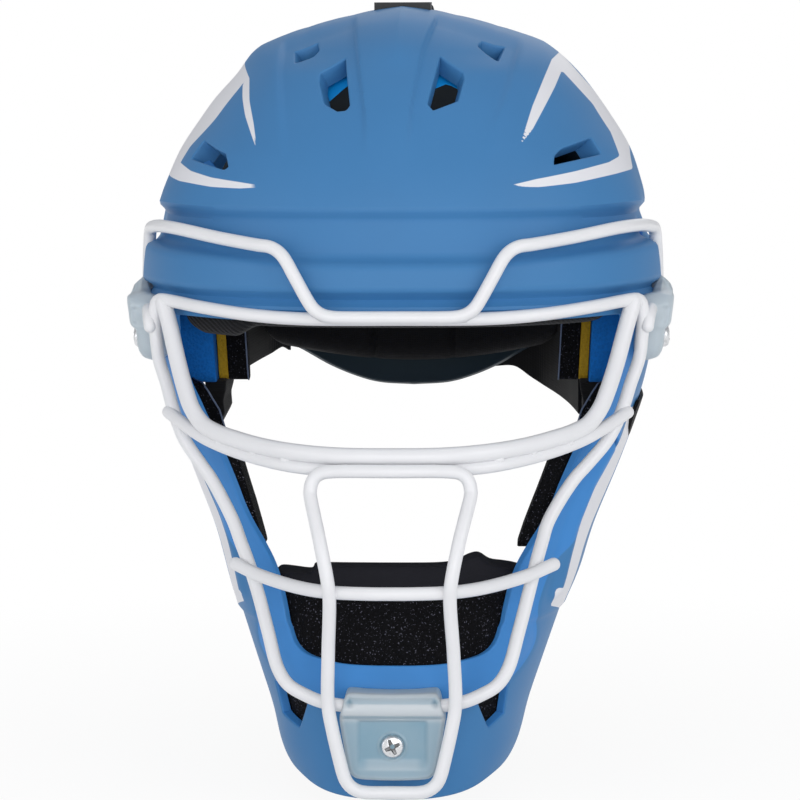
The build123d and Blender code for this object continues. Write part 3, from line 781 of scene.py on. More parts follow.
class HelmetColours(bpy.types.PropertyGroup):
    paint: colour_property("Paint", "Matte paint of the shell", (0.053, 0.202, 0.44))
    plastic: colour_property("Plastic", "Bright plastic of the inside and the port's edge", (0.052, 0.25, 0.62))
    stripe: colour_property("Stripe", "Accent stripes", (0.80, 0.80, 0.84))
    cage: colour_property("Cage", "Coat of the cage", (0.84, 0.84, 0.86))
    clip: colour_property("Clip", "Milky edges of the clear clips", (0.80, 0.86, 0.90))
    clip_deep: colour_property("Thin clip", "Clear clips where they are thin", (0.26, 0.48, 0.62))
    metal: colour_property("Metal", "Plated screws and rivets", (0.72, 0.73, 0.75))
    fabric: colour_property("Fabric", "Padding fabric", (0.0058, 0.0058, 0.0072))
    foam: colour_property("Foam", "Speckled foam", (0.0034, 0.0034, 0.0044))
    gold: colour_property("Gold foam", "Foam under the side pads", (0.44, 0.265, 0.012))
    liner: colour_property("Liner", "Moulded foam of the ear walls", (0.003, 0.17, 0.62))
    # The vents' plastic painted brighter than the port's plastic: painted light shining through the vents
    arch_painted_glow: colour_property("Arches", "Lit plastic inside the crown's vents", (0.004, 0.36, 0.90))
    # The rear plate's inside: painted shade, a dark colour where blue plastic lies in shadow
    lining_painted_shade: colour_property("Plate lining", "Dark inside of the rear plate", (0.008, 0.024, 0.038))
    thread: colour_property("Thread", "Piping of the pads", (0.16, 0.20, 0.30))
    webbing: colour_property("Webbing", "Elastic straps", (0.0028, 0.0028, 0.0036))
    black: colour_property("Black plastic", "Hook and buckle", (0.016, 0.016, 0.018))


finishes = {}


def finish(context, name):
    """The named finish, made once."""
    colours = context.scene.helmet_colours
    makers = {
        "shell_paint": shell_paint, "cage_coat": cage_coat,
        "clear_plastic": clear_plastic, "plated_metal": plated_metal, "ribbed_fabric": ribbed_fabric,
        "plain_fabric": plain_fabric, "speckled_foam": speckled_foam, "strap_webbing": strap_webbing,
        "black_plastic": black_plastic, "painted_shade_lining": painted_shade_lining, "piping": piping,
        "raw_plastic": lambda c: raw_plastic("raw_plastic", c.plastic),
        "painted_glow_plastic": lambda c: raw_plastic("painted_glow_plastic", c.arch_painted_glow),
        "gold_foam": lambda c: solid_foam("gold_foam", c.gold, 1.2),
        "blue_foam": lambda c: solid_foam("blue_foam", c.liner, 1.15),
    }
    if name not in finishes:
        finishes[name] = makers[name](colours)
    return finishes[name]


# Outlines of the shell


SHELL_EDGE = flow([
    (58.0, 140.0), (63.0, 105.0), (69.6, 72.0), (66.0, 38.0), (51.0, 8.0), (39.4, -21.9), (33.6, -55.1),
    (23.2, -80.0), (3.9, -104.0), (-30.0, -140.1), (-60.1, -171.6), (-90.0, -195.6), (-116.0, -203.4),
    (-133.1, -207.3), (-160.0, -210.4),
], 8)
PORT_HALF = [
    (60.0, -9.9), (94.0, -9.9), (98.2, -11.6), (99.0, -16.0), (98.2, -24.0), (96.4, -32.0), (93.4, -40.0),
    (89.4, -47.0), (86.2, -53.2), (82.2, -60.0), (78.2, -67.6), (72.4, -80.0), (68.2, -90.0), (64.2, -97.0),
    (58.9, -104.4),
    (54.2, -111.4), (51.0, -118.4), (49.0, -125.0), (47.6, -131.4), (46.2, -139.0), (43.8, -144.8), (39.2, -148.2),
    (31.0, -149.8), (18.0, -151.0),
]
PORT = [tuple(point) for point in flow(PORT_HALF + [(-x, z) for x, z in reversed(PORT_HALF)], 6, True)]
# Slots of the shell and the rear plate: middles, then length, width and tilt
EAR_SLOTS = [(-11.0, -34.0), (2.0, -34.0), (15.0, -34.0)]
EAR_SLOT_FORM = (26.0, 6.0, 62.0)
REAR_SLOTS = [(-24.0, 44.0), (0.0, 44.0), (24.0, 44.0)]
REAR_SLOT_FORM = (34.0, 7.0, 90.0)
VENTS = {
    "crown_left": traced([(319, 71), (344, 54), (349, 103), (345, 108), (336, 109), (323, 101), (318, 80)]),
    "crown_right": traced([(441, 53), (464, 70), (465, 76.5), (459, 98), (433.5, 108), (428, 101)]),
    "top_left": traced([(291, 46), (315, 36), (316, 41), (310, 48), (291.5, 57)]),
    "top_right": traced([(481, 37), (484, 34), (508, 41), (502, 54.5)]),
    "temple_left": traced([(196, 161), (206, 142), (219, 151), (227, 155), (230, 168), (226, 171)]),
    "temple_right": traced([(552, 166), (553, 157), (559, 151), (586.5, 141), (595, 157)]),
    "chin_left": traced([(276, 681), (284, 714), (299, 727), (307.5, 700)]),
    "chin_right": traced([(477.5, 700), (489, 727), (503, 714), (508, 681)]),
}
# How far the walls of the vents go in
VENT_WELLS = {"crown": 8.4, "top": 8.0, "temple": 10.0, "chin": 0.0}
# Arches seen through the crown vents, floors of the top vents and slopes of the temple vents
VENT_ARCHES = [
    traced([(316, 101), (324, 87), (340, 76), (351, 69), (352, 83), (343, 89), (329, 101), (318, 111)]),
    traced([(431, 79), (442, 74), (452, 77), (466, 85), (465, 94), (450, 87), (440, 84), (430, 92)]),
]
VENT_FLOORS = [
    traced([(284, 44), (318, 30), (322, 46), (300, 60), (286, 60)]),
    traced([(476, 34), (490, 28), (514, 40), (506, 58), (492, 52)]),
]
VENT_SLOPES = [
    (
        traced([(193, 162.5), (206, 140), (211.5, 149), (208, 162), (216, 173), (205, 170)]),
        traced([(194, 162), (214, 158)]),
    ),
    (
        traced([(598, 158), (587, 139.5), (579.5, 144), (584, 158), (573, 169), (584, 167)]),
        traced([(597, 158), (578, 152)]),
    ),
]
# Lines on the sides of the jaw: y and z
JAW_STRIPE = [
    (-30.0, -58.0), (-36.0, -66.0), (-42.0, -76.0), (-50.5, -88.0), (-58.0, -101.0), (-64.0, -112.0), (-67.5, -120.5),
    (-71.0, -136.5), (-93.6, -131.5), (-95.6, -126.2), (-91.6, -126.6), (-89.4, -120.5), (-85.8, -111.5),
    (-80.4, -99.0), (-74.6, -89.0), (-67.0, -77.0), (-52.0, -64.0), (-42.0, -55.0),
]
JAW_RIDGE = [(-58.0, -52.0), (-66.0, -64.0), (-79.0, -82.0), (-86.5, -102.0), (-94.0, -126.0)]
# Small slot over the stripe on the right: middle, length, width and tilt
JAW_HOLE = ((-66.0, -66.5), 7.0, 2.4, -62.0)
# Radius of the holes round the clips' screws
SCREW_HOLE = 4.0
STRIPES = [
    traced([(244, 60), (212.5, 97), (178, 138), (167, 170), (171, 174), (186, 183), (215, 188), (242, 189),
            (265, 187.5), (242, 184), (215, 180), (196, 174), (184, 164.5), (192, 147), (213, 119), (243.5, 76.5),
            (241, 84), (241.6, 96), (245, 115), (257, 147), (253, 124), (248, 99.5), (247, 76.5)]),
    traced([(558, 54), (586, 86), (610, 115), (626, 142), (629, 168), (628, 170), (610, 176), (572, 184),
            (538, 187.5), (508.5, 187), (534, 181), (572, 174), (603, 166), (615, 159), (608.5, 134), (591, 105),
            (560, 71), (553, 88), (542.2, 109.4), (531.8, 129), (520.6, 144.5), (532.6, 106.6),
            (543.2, 80), (551, 61)]),
]
# Rear plate: its lower edge from the middle, x and z, and the corners beyond its front edge, y and z
PLATE_LOW = flow([
    (0.0, -59.9), (16.0, -58.9), (28.0, -55.7), (40.0, -50.6), (50.5, -44.6), (60.0, -39.4), (72.0, -31.6),
    (86.0, -25.4), (114.0, -21.9), (148.2, -21.1),
], 8)
PLATE_CORNERS = [(46.4, -69.6), (300.0, -69.6), (300.0, 140.0)]


def line_distance(points, across, up):
    """Distance from places to an open line."""
    nearest = np.full(across.shape, 1e9)
    for (ax, az), (bx, bz) in zip(points, points[1:]):
        dx, dz = bx - ax, bz - az
        along = np.clip(((across - ax) * dx + (up - az) * dz) / (dx * dx + dz * dz), 0, 1)
        nearest = np.minimum(nearest, np.hypot(across - ax - along * dx, up - az - along * dz))
    return nearest


def edge_distance(y, z):
    """Distance from the rear and lower edge of the front shell, negative in front of it."""
    region = [tuple(point) for point in SHELL_EDGE] + [(-400.0, -213.1), (-400.0, 140.0)]
    return polygon_distance(region, y, z)


def only(mask):
    """0 where the mask holds, and beyond every outline elsewhere."""
    return np.where(mask, 0.0, FAR)


def slot_distance(a, b, middle, length, width, tilt):
    """Distance from a round ended slot, negative inside it."""
    turn = math.radians(tilt)
    along = (a - middle[0]) * math.cos(turn) + (b - middle[1]) * math.sin(turn)
    across = -(a - middle[0]) * math.sin(turn) + (b - middle[1]) * math.cos(turn)
    over = np.maximum(np.abs(along) - (length - width) / 2, 0)
    return np.hypot(over, across) - width / 2


def shell_relief(places, sizes):
    """How far the shell's face stands out of the plain hull."""
    x, y, z = places[..., 0], places[..., 1], places[..., 2]
    side = np.abs(x)
    front = ramp(-y, -6, 16)

    # Two sunk panels between the spine and the ridges of the crown
    level = np.where(y < 0, z, 118.0)
    left = np.interp(level, [53, 57, 78, 104, 119], [12.5, 12.5, 13.3, 17.5, 20.6])
    right = np.interp(level, [53, 81, 104, 117], [4.8, 6.8, 11.0, 15.7])
    ridge_left = np.interp(level, [57, 76, 96, 109], [45.6, 48.8, 52.1, 52.9])
    ridge_right = np.interp(level, [54, 73, 92, 109], [36.7, 41.7, 48.7, 53.5])
    spine = np.where(x < 0, left, right)
    ridge = np.where(x < 0, ridge_left, ridge_right)
    sunk = ramp(side, spine - 0.8, spine + 0.8) * (1 - ramp(side, ridge - 1.2, ridge + 1.2))
    relief = -sizes.panel * sunk * ramp(z, 50, 88) * ramp(-y, 24, 46)

    # The crown's shoulders and outline, and the brim over the brow band
    brim = ramp(-y, 22, 62) * (0.45 + 0.55 * (1 - ramp(-y, 66, 100)))
    dents = 1.2 * bump(z, 103, 5) - 1.0 * bump(z, 92, 8) - 0.6 * ramp(z, 58, 76) - 0.1
    relief = relief + ramp(side, 48, 76) * ramp(z, 42, 62) * np.where(x < 0, dents, 1.2)
    relief = relief - 1.2 * ramp(x, 80, 100) * bump(z, 33, 6) * (1 - ramp(-y, 30, 60))
    relief = relief + sizes.brim * brim * ramp(z, 34.0, 37.2) * (1 - ramp(z, 40, 78))
    peak = np.interp(side, [0, 12, 23, 33, 43, 53, 63], [1.8, 0.3, -1.4, -2.2, -2.5, -1.4, 0.1])
    relief = relief + peak * ramp(z, 94, 106) * np.where(peak > 0, ramp(-y, -4, 8), 1.0)

    # The brow band, which climbs to the sides, and the visor under it
    rise = np.interp(side, [40, 60, 95, 108], [0.4, 1.8, 4.2, 5.2])
    groove = (1 - ramp(z, 32.6, 36.4)) * ramp(z, 11 + rise, 19 + rise)
    relief = relief - sizes.band * front * groove * (0.75 + 0.9 * ramp(side, 60, 100))
    behind = (1 - front) * ramp(-y, -58, -34) * ramp(z, 14, 20) * (1 - ramp(z, 31, 39))
    relief = relief - behind * np.where(x < 0, 1.5, 3.4)
    visor = ramp(z, 0.4, 3.6) * (1 - ramp(z, 13.0 + rise, 17.6 + rise)) * ramp(-y, 33, 39)
    relief = relief + sizes.visor * visor
    relief = relief - 2.0 * bump(y, -29, 6) * ramp(z, -6, 0) * (1 - ramp(z, 26, 32))
    relief = relief - 0.9 * front * bump(z, -0.6, 1.5)
    relief = relief + 2.1 * front * bump(z, -4.2, 1.9)

    # The jaw's ridge, its fuller right side, the chin and the step over it
    jaw = ramp(side, 40, 52) * (1 - ramp(z, -62, -52))
    crease = 1 - ramp(line_distance(JAW_RIDGE, y, z), 0.0, 7.0)
    relief = relief + np.where(x < 0, 1.5, 3.0) * jaw * crease
    relief = relief + 1.2 * ramp(side, 36, 48) * bump(z, -192, 10)
    relief = relief + 1.7 * ramp(x, 40, 60) * (1 - ramp(z, -68, -56)) * ramp(z, -140, -118)
    step = ramp(side, 38, 52) * ramp(z, -139.0, -136.0) * (1 - ramp(z, -132, -100)) * ramp(-y, 20, 40)
    return relief + 1.3 * step


def shell_openings(x, y, z, port):
    """The field that cuts the front shell, positive where it is open, and the depth of its vents."""
    cut = np.maximum(edge_distance(y, z), -port - only(y < -28))
    well = np.zeros_like(x)
    for name, outline in VENTS.items():
        vent = -polygon_distance(outline, x, z) - only(y < 0)
        well = np.where(vent > -3, VENT_WELLS[name.split("_")[0]], well)
        cut = np.maximum(cut, vent)
    for middle in EAR_SLOTS:
        cut = np.maximum(cut, -slot_distance(y, z, middle, *EAR_SLOT_FORM))
    cut = np.maximum(cut, SCREW_HOLE - np.hypot(y - SCREW_PLACE[1], z - SCREW_PLACE[2]))
    cut = np.maximum(cut, SCREW_HOLE - np.hypot(x, z - CHIN_SCREW_Z) - only(y < 0))
    return np.maximum(cut, -slot_distance(y, z, *JAW_HOLE) - only(x > 0)), well


def stripe_field(x, y, z):
    """Distance into the white stripes, negative outside them."""
    stripe = np.full(x.shape, -FAR)
    for outline in STRIPES:
        crown = np.where(y < 5, -0.25, FAR)
        stripe = np.maximum(stripe, -polygon_distance(outline, x, z) - crown)
    jaw = np.where(x > 40, -1.7, only(x < -40))
    return np.maximum(stripe, -polygon_distance(JAW_STRIPE, y, z) - jaw)


def mould(name, grid, field):
    """The mesh of a wall cut from a grid by a field, with its stripe and its bright band marked."""
    mesh, marks = walled(name, *clipped(grid, field + ROUND_EDGE))
    mark(mesh, "stripe", marks[:, 0])
    mark(mesh, "band", marks[:, 1])
    return mesh


class HELMET_OT_shell(bpy.types.Operator):
    """Moulds the front shell with its relief, vents, port and stripes."""
    bl_idname = "helmet.shell"
    bl_label = "Front shell"

    def execute(self, context):
        sizes = context.scene.helmet_sizes
        places, normals = hull_grid(sizes.across, sizes.down)
        x, y, z = places[..., 0], places[..., 1], places[..., 2]
        port = polygon_distance(PORT, x, z)
        cut, well = shell_openings(x, y, z, port)
        below = (1 - ramp(z, -14, -8)) * ramp(-y, 20, 34)
        wide = 11.0 + 4.5 * (1 - ramp(z, -150, -128))
        ledge = (1 - ramp(port - wide, -1.0, 1.0)) * (0.35 + 0.65 * (1 - ramp(port, 0.0, 9.0)))
        relief = shell_relief(places, sizes) - 2.0 * below * ledge
        outer = places + normals * relief[..., None]
        inner = places + normals * (np.minimum(relief + 1.2, 0) - WALL)[..., None]
        stripe = stripe_field(x, y, z)
        band = np.minimum(wide - port, (1 - ramp(z, -16, -10)) * 100 - 50) - only(y < -20)
        grid = np.concatenate([outer, inner, well[..., None], stripe[..., None], band[..., None]], -1)
        mesh = mould("front_shell_skin", grid, cut)
        piece = show(mesh, finish(context, "shell_paint"), finish(context, "raw_plastic"))
        settle(piece, HELMET, "shell_paint", "front_shell")
        return {"FINISHED"}


class HELMET_OT_rear_plate(bpy.types.Operator):
    """Moulds the rear plate with its slots."""
    bl_idname = "helmet.rear_plate"
    bl_label = "Rear plate"

    def execute(self, context):
        sizes = context.scene.helmet_sizes
        places, normals = hull_grid(int(sizes.across * 0.7), sizes.down * 1.4)
        x, y, z = places[..., 0], places[..., 1], places[..., 2]
        edge = [(a + 4.0, b) for a, b in SHELL_EDGE[:41]]
        cut = polygon_distance([tuple(point) for point in edge] + PLATE_CORNERS, y, z)
        low = np.interp(np.abs(x), PLATE_LOW[:, 0], PLATE_LOW[:, 1])
        cut = np.maximum(cut, (low - z) * 0.86)
        for middle in REAR_SLOTS:
            cut = np.maximum(cut, -slot_distance(x, z, middle, *REAR_SLOT_FORM) - only(y > 0))
        raised = (1 - ramp(np.abs(x), 50, 54)) * ramp(z, -34, -30) * (1 - ramp(z, 72, 77)) * ramp(y, 50, 70)
        relief = 1.2 * raised - 0.9 * bump(z, -41.0, 2.0) * ramp(y, 50, 60)
        outer = places + normals * relief[..., None]
        inner = places - normals * WALL
        none = np.zeros(x.shape + (1,))
        mesh = mould("rear_plate_skin", np.concatenate([outer, inner, none, none - FAR, none - FAR], -1), cut)
        # The plate's inside and rims take the painted shade
        piece = show(mesh, finish(context, "shell_paint"), finish(context, "painted_shade_lining"))
        settle(piece, REAR, "shell_paint", "rear_plate")
        return {"FINISHED"}


# The cage: one half of each wire from its middle or its upper end, as x, y and
# z; a fourth number bends a tight corner, and says how far from it that begins

JAW_WIRE = [
    (0.0, -115.3, -8.1), (40.0, -112.4, -8.1), (61.3, -105.5, -7.1), (83.0, -92.4, -5.0), (96.0, -81.2, -3.5),
    (105.0, -74.9, -2.6, 4.6), (105.3, -74.2, -13.9), (104.9, -73.8, -20.5), (103.8, -75.5, -28.3),
    (99.8, -80.6, -39.7), (96.8, -85.9, -48.9), (91.4, -93.3, -61.1), (83.8, -99.5, -71.2), (78.5, -103.6, -77.8),
    (68.8, -113.0, -94.0), (65.5, -117.4, -101.6), (61.9, -122.7, -109.6), (57.2, -130.0, -121.7),
    (52.4, -138.2, -136.8), (47.9, -144.4, -151.4), (43.4, -146.9, -157.8), (36.4, -148.4, -161.8),
    (29.5, -149.5, -164.4), (20.3, -150.7, -165.8), (0.0, -150.9, -166.5),
]
VISOR_WIRE = [
    (0.0, -120.0, -7.1), (22.0, -119.4, -7.1), (32.4, -119.0, -6.6, 7.0), (42.0, -116.8, 10.5),
    (48.6, -114.6, 22.6, 8.0), (56.0, -110.6, 22.6), (74.6, -97.3, 24.9), (94.4, -79.6, 27.8), (104.0, -61.0, 27.8),
    (108.4, -46.0, 26.6), (111.8, -30.4, 24.8, 5.0), (112.6, -29.2, 12.0), (113.0, -29.0, -3.0),
]
EYE_WIRE = [
    (0.0, -155.1, -61.2), (22.6, -153.8, -61.0), (41.3, -146.5, -60.2), (56.0, -136.2, -58.9), (66.5, -127.4, -57.2),
    (75.0, -119.3, -55.4), (81.6, -112.0, -52.6), (86.6, -105.6, -46.8), (89.6, -100.0, -40.4), (93.6, -91.2, -29.3),
    (98.2, -81.6, -13.6), (101.3, -77.2, -3.6),
]
CHEEK_WIRE = [
    (0.0, -154.4, -67.0), (22.0, -152.8, -67.0), (40.7, -146.4, -66.2), (62.5, -129.6, -63.4), (78.4, -113.9, -59.6),
    (86.6, -104.2, -56.4), (92.6, -95.6, -53.6), (98.6, -86.8, -50.6),
]
MOUTH_WIRE = [
    (0.0, -173.4, -115.1), (9.0, -173.1, -115.1), (24.9, -167.3, -115.4), (37.5, -157.1, -115.3),
    (55.5, -137.6, -113.4), (67.0, -125.2, -110.4),
]
CENTER_WIRE = [
    (0.0, -160.6, -66.5), (18.0, -159.3, -66.6), (32.6, -156.8, -67.4, 7.6), (33.0, -158.6, -76.0),
    (28.5, -169.6, -93.8), (25.1, -172.6, -111.0), (24.6, -171.0, -117.9), (25.8, -161.9, -142.8),
    (26.3, -156.4, -164.8),
    (24.6, -156.0, -175.2), (21.6, -155.7, -188.6), (18.4, -155.5, -201.2, 8.0), (8.0, -155.4, -201.6),
    (0.0, -155.3, -201.6),
]
STUB_WIRE = [
    (107.2, -75.8, -15.0), (107.7, -75.0, -12.0), (108.5, -71.0, -8.6, 4.0), (109.6, -60.0, -8.0),
    (110.8, -48.0, -7.6),
]
# How far the loop stands in on the right at the jaw: depth, height and spread
JAW_LEAN = (4.2, -90.0, 24.0)
# Gap between wires that a weld still closes, and how far apart two welds lie
WELD_GAP = 0.6
WELD_APART = 17.0


def mirrored(points):
    """The points on the other side, in reverse."""
    return [(-point[0],) + tuple(point[1:]) for point in reversed(points) if point[0] > 0]


def bent(points):
    """The places of a wire's line with its tight corners bent."""
    line = []
    for index, point in enumerate(points):
        here = np.array(point[:3])
        if len(point) == 3:
            line.append(here)
            continue
        ends = []
        for other in (points[index - 1], points[index + 1]):
            away = np.array(other[:3]) - here
            ends.append(here + away / np.linalg.norm(away) * point[3])
        for t in (0.0, 0.25, 0.5, 0.75, 1.0):
            line.append(ends[0] * (1 - t) ** 2 + here * 2 * t * (1 - t) + ends[1] * t ** 2)
    return np.array(line)


def even_line(points, closed=False, step=1.6):
    """A smooth line of even steps through places with uneven gaps."""
    table = np.vstack([points, points[:1]]) if closed else np.array(points)
    knots = np.concatenate([[0], np.cumsum(np.sqrt(np.linalg.norm(np.diff(table, axis=0), axis=1)))])
    slopes = np.diff(table, axis=0) / np.diff(knots)[:, None]
    gaps = np.diff(knots)[:, None]
    if closed:
        before, after = np.vstack([slopes[-1:], slopes]), np.vstack([slopes, slopes[:1]])
        first, second = np.vstack([gaps[-1:], gaps]), np.vstack([gaps, gaps[:1]])
    else:
        before, after = np.vstack([slopes[:1], slopes]), np.vstack([slopes, slopes[-1:]])
        first, second = np.vstack([gaps[:1], gaps]), np.vstack([gaps, gaps[-1:]])
    turns = (before * second + after * first) / (first + second)
    fine = []
    for index in range(len(table) - 1):
        a, b, gap = table[index], table[index + 1], gaps[index]
        for t in np.linspace(0, 1, 14, endpoint=False):
            fine.append(
                a * (2 * t ** 3 - 3 * t ** 2 + 1) + b * (3 * t ** 2 - 2 * t ** 3)
                + gap * (turns[index] * (t ** 3 - 2 * t ** 2 + t) + turns[index + 1] * (t ** 3 - t ** 2))
            )
    fine = np.vstack(fine + [table[-1]])
    run = np.concatenate([[0], np.cumsum(np.linalg.norm(np.diff(fine, axis=0), axis=1))])
    count = max(2, round(run[-1] / step))
    even = np.arange(count if closed else count + 1) / count * run[-1]
    return np.stack([np.interp(even, run, fine[:, axis]) for axis in range(3)], -1)


def closed_mesh(name, places, faces):
    """A smooth mesh of places in millimetres, with its faces turned outward."""
    made = bmesh.new()
    for place in places * MM:
        made.verts.new(place)
    made.verts.ensure_lookup_table()
    for face in faces:
        made.faces.new([made.verts[corner] for corner in face]).smooth = True
    bmesh.ops.recalc_face_normals(made, faces=made.faces)
    mesh = bpy.data.meshes.new(name)
    made.to_mesh(mesh)
    made.free()
    return mesh


def solid(name, rings, wrapped=False, smooth=40.0):
    """A closed mesh of rings of places, which have the same count.

    wrapped joins the last ring to the first, in place of two end faces.
    """
    table = np.array(rings)
    rows, count = table.shape[:2]
    faces = []
    for row in range(rows if wrapped else rows - 1):
        upper, lower = row * count, (row + 1) % rows * count
        for spot in range(count):
            beside = (spot + 1) % count
            faces.append((upper + spot, upper + beside, lower + beside, lower + spot))
    if not wrapped:
        faces.append(tuple(reversed(range(count))))
        faces.append(tuple(range((rows - 1) * count, rows * count)))
    mesh = closed_mesh(name, table.reshape(-1, 3), faces)
    mesh.set_sharp_from_angle(angle=math.radians(smooth))
    return mesh


def tube(name, line, thickness, closed=False, sides=20):
    """A round wire along a line, with domed ends where it is open."""
    ahead = np.roll(line, -1, 0) - np.roll(line, 1, 0)
    if not closed:
        ahead[0], ahead[-1] = line[1] - line[0], line[-1] - line[-2]
    ahead /= np.linalg.norm(ahead, axis=1, keepdims=True)
    over = np.cross(ahead, (0, 1.0, 0)) if closed else [np.cross(ahead[0], (0.1, 0.3, 0.95))]
    if not closed:
        for way in ahead[1:]:
            over.append(over[-1] - way * np.dot(over[-1], way))
    over = np.array(over)
    over /= np.linalg.norm(over, axis=1, keepdims=True)
    beside = np.cross(ahead, over)
    turn = np.linspace(0, math.tau, sides, endpoint=False)
    round_over, round_beside = np.cos(turn)[:, None], np.sin(turn)[:, None]

    def ring(row, radius, shift=0.0):
        return line[row] + ahead[row] * shift + radius * (round_over * over[row] + round_beside * beside[row])

    radius = thickness / 2
    rings = [ring(row, radius) for row in range(len(line))]
    if not closed:
        angles = np.radians([25, 48, 68, 84])
        dome = [(radius * math.cos(angle), 0.9 * radius * math.sin(angle)) for angle in angles]
        rings = [ring(0, size, -shift) for size, shift in reversed(dome)] + rings
        rings += [ring(-1, size, shift) for size, shift in dome]
    return solid(name, rings, closed, smooth=60.0)


def bead(middle, size, seed):
    """Rings of a small uneven drop of weld."""
    rings = []
    for tilt in np.radians(np.linspace(-84, 84, 11)):
        turn = np.linspace(0, math.tau, 16, endpoint=False)
        swell = size * (1 + 0.10 * np.sin(3 * turn + seed) * math.cos(tilt) + 0.06 * math.sin(4 * tilt + seed))
        rings.append(middle + np.stack([
            swell * np.cos(turn) * math.cos(tilt), swell * np.sin(turn) * math.cos(tilt),
            swell * 0.92 * math.sin(tilt) + 0 * turn,
        ], -1))
    return rings


def contacts(lines):
    """Where wires touch, as places between their lines and the thinner wire's thickness."""
    found = []
    for index, (first, wide) in enumerate(lines):
        for second, narrow in lines[index + 1:]:
            gap = np.linalg.norm(first[:, None] - second[None], axis=-1)
            while gap.min() < (wide + narrow) / 2 + WELD_GAP:
                a, b = np.unravel_index(gap.argmin(), gap.shape)
                place = (first[a] * narrow + second[b] * wide) / (wide + narrow)
                found.append((place, min(wide, narrow)))
                gap[np.linalg.norm(first - first[a], axis=1) < WELD_APART] = FAR
    return found


class HELMET_OT_cage(bpy.types.Operator):
    """Bends and welds the coated wires of the cage."""
    bl_idname = "helmet.cage"
    bl_label = "Cage"

    def execute(self, context):
        sizes = context.scene.helmet_sizes
        coat = finish(context, "cage_coat")
        lines = []

        def wire(name, line, thickness, nodes, closed=False):
            lines.append((line, thickness))
            settle(show(tube(name, line, thickness, closed), coat), HELMET, "cage_coat", *nodes)

        for name, half, thickness, nodes in (
            ("visor_wire", VISOR_WIRE, sizes.wire, ["cage_visor_bar_left", "cage_visor_bar_right"]),
            ("eye_wire", EYE_WIRE, sizes.eye_wire, ["cage_eye_bar"]),
            ("cheek_wire", CHEEK_WIRE, sizes.wire, ["cage_cheek_bar"]),
            ("mouth_wire", MOUTH_WIRE, sizes.wire, ["cage_mouth_bar"]),
        ):
            wire(name, even_line(bent(mirrored(half) + half)), thickness, nodes)
        loop = bent(JAW_WIRE + mirrored(JAW_WIRE))
        loop[:, 0] -= JAW_LEAN[0] * bump(loop[:, 2], *JAW_LEAN[1:]) * (loop[:, 0] > 40)
        wire("jaw_wire", even_line(loop, True), sizes.wire, ["cage_outer_loop"], True)
        loop = bent(CENTER_WIRE + mirrored(CENTER_WIRE))
        wire("center_wire", even_line(loop, True), sizes.wire, ["cage_center_loop"], True)
        for side, word in SIDES:
            line = even_line(bent([(side * point[0],) + tuple(point[1:]) for point in STUB_WIRE]), step=1.2)
            wire("stub_wire_" + word, line, sizes.wire, ["cage_side_stub_" + word])
        meshes = [
            solid("weld_bead_%02d" % index, bead(place, thickness * 0.46, index))
            for index, (place, thickness) in enumerate(contacts(lines))
        ]
        settle(show(joined("weld_beads", meshes), coat), HELMET, "cage_coat")
        return {"FINISHED"}


def joined(name, meshes):
    """One mesh of several, which are then removed."""
    made = bmesh.new()
    for mesh in meshes:
        made.from_mesh(mesh)
        bpy.data.meshes.remove(mesh)
    whole = bpy.data.meshes.new(name)
    made.to_mesh(whole)
    made.free()
    whole.polygons.foreach_set("use_smooth", [True] * len(whole.polygons))
    return whole


# Clips and screws

# The side clip's outer face: height and half width of the helmet there
CLIP_FACE = np.array([
    (5.4, 110.6), (5.0, 112.0), (4.2, 113.6), (2.2, 116.6), (0.2, 118.6), (-2.1, 119.5), (-5.0, 119.3),
    (-9.0, 118.8), (-14.0, 118.2), (-15.6, 117.6), (-17.4, 115.5), (-24.0, 115.0), (-27.0, 114.2), (-29.4, 112.8),
    (-30.6, 111.4), (-31.2, 110.2),
])
CLIP_DEPTH = (-66.0, -23.0)
# The clip's corner radius and its lip, and how square its section is
CLIP_CORNER = 8.0
CLIP_LIP = 2.0
CLIP_SQUARE = 5.5
SCREW_PLACE = (114.9, -47.0, -21.5)
# The chin clip's half outline: x and z
CHIN_CLIP_HALF = [
    (0.0, -160.8), (10.0, -160.6), (16.2, -160.2), (18.4, -160.4), (19.4, -161.4), (20.1, -163.6), (20.8, -166.6),
    (21.7, -169.4), (21.9, -172.4), (21.3, -176.4), (20.1, -184.0), (19.2, -189.6), (18.4, -193.0), (16.8, -195.4),
    (13.8, -196.8), (6.0, -197.3), (0.0, -197.4),
]
CHIN_SCREW_Z = -182.8
CHIN_WIRE_Z = -166.4
# Milkiness of the clips' unlit sides
CLIP_MILK = 0.78
CHIN_BACK_MILK = 0.3


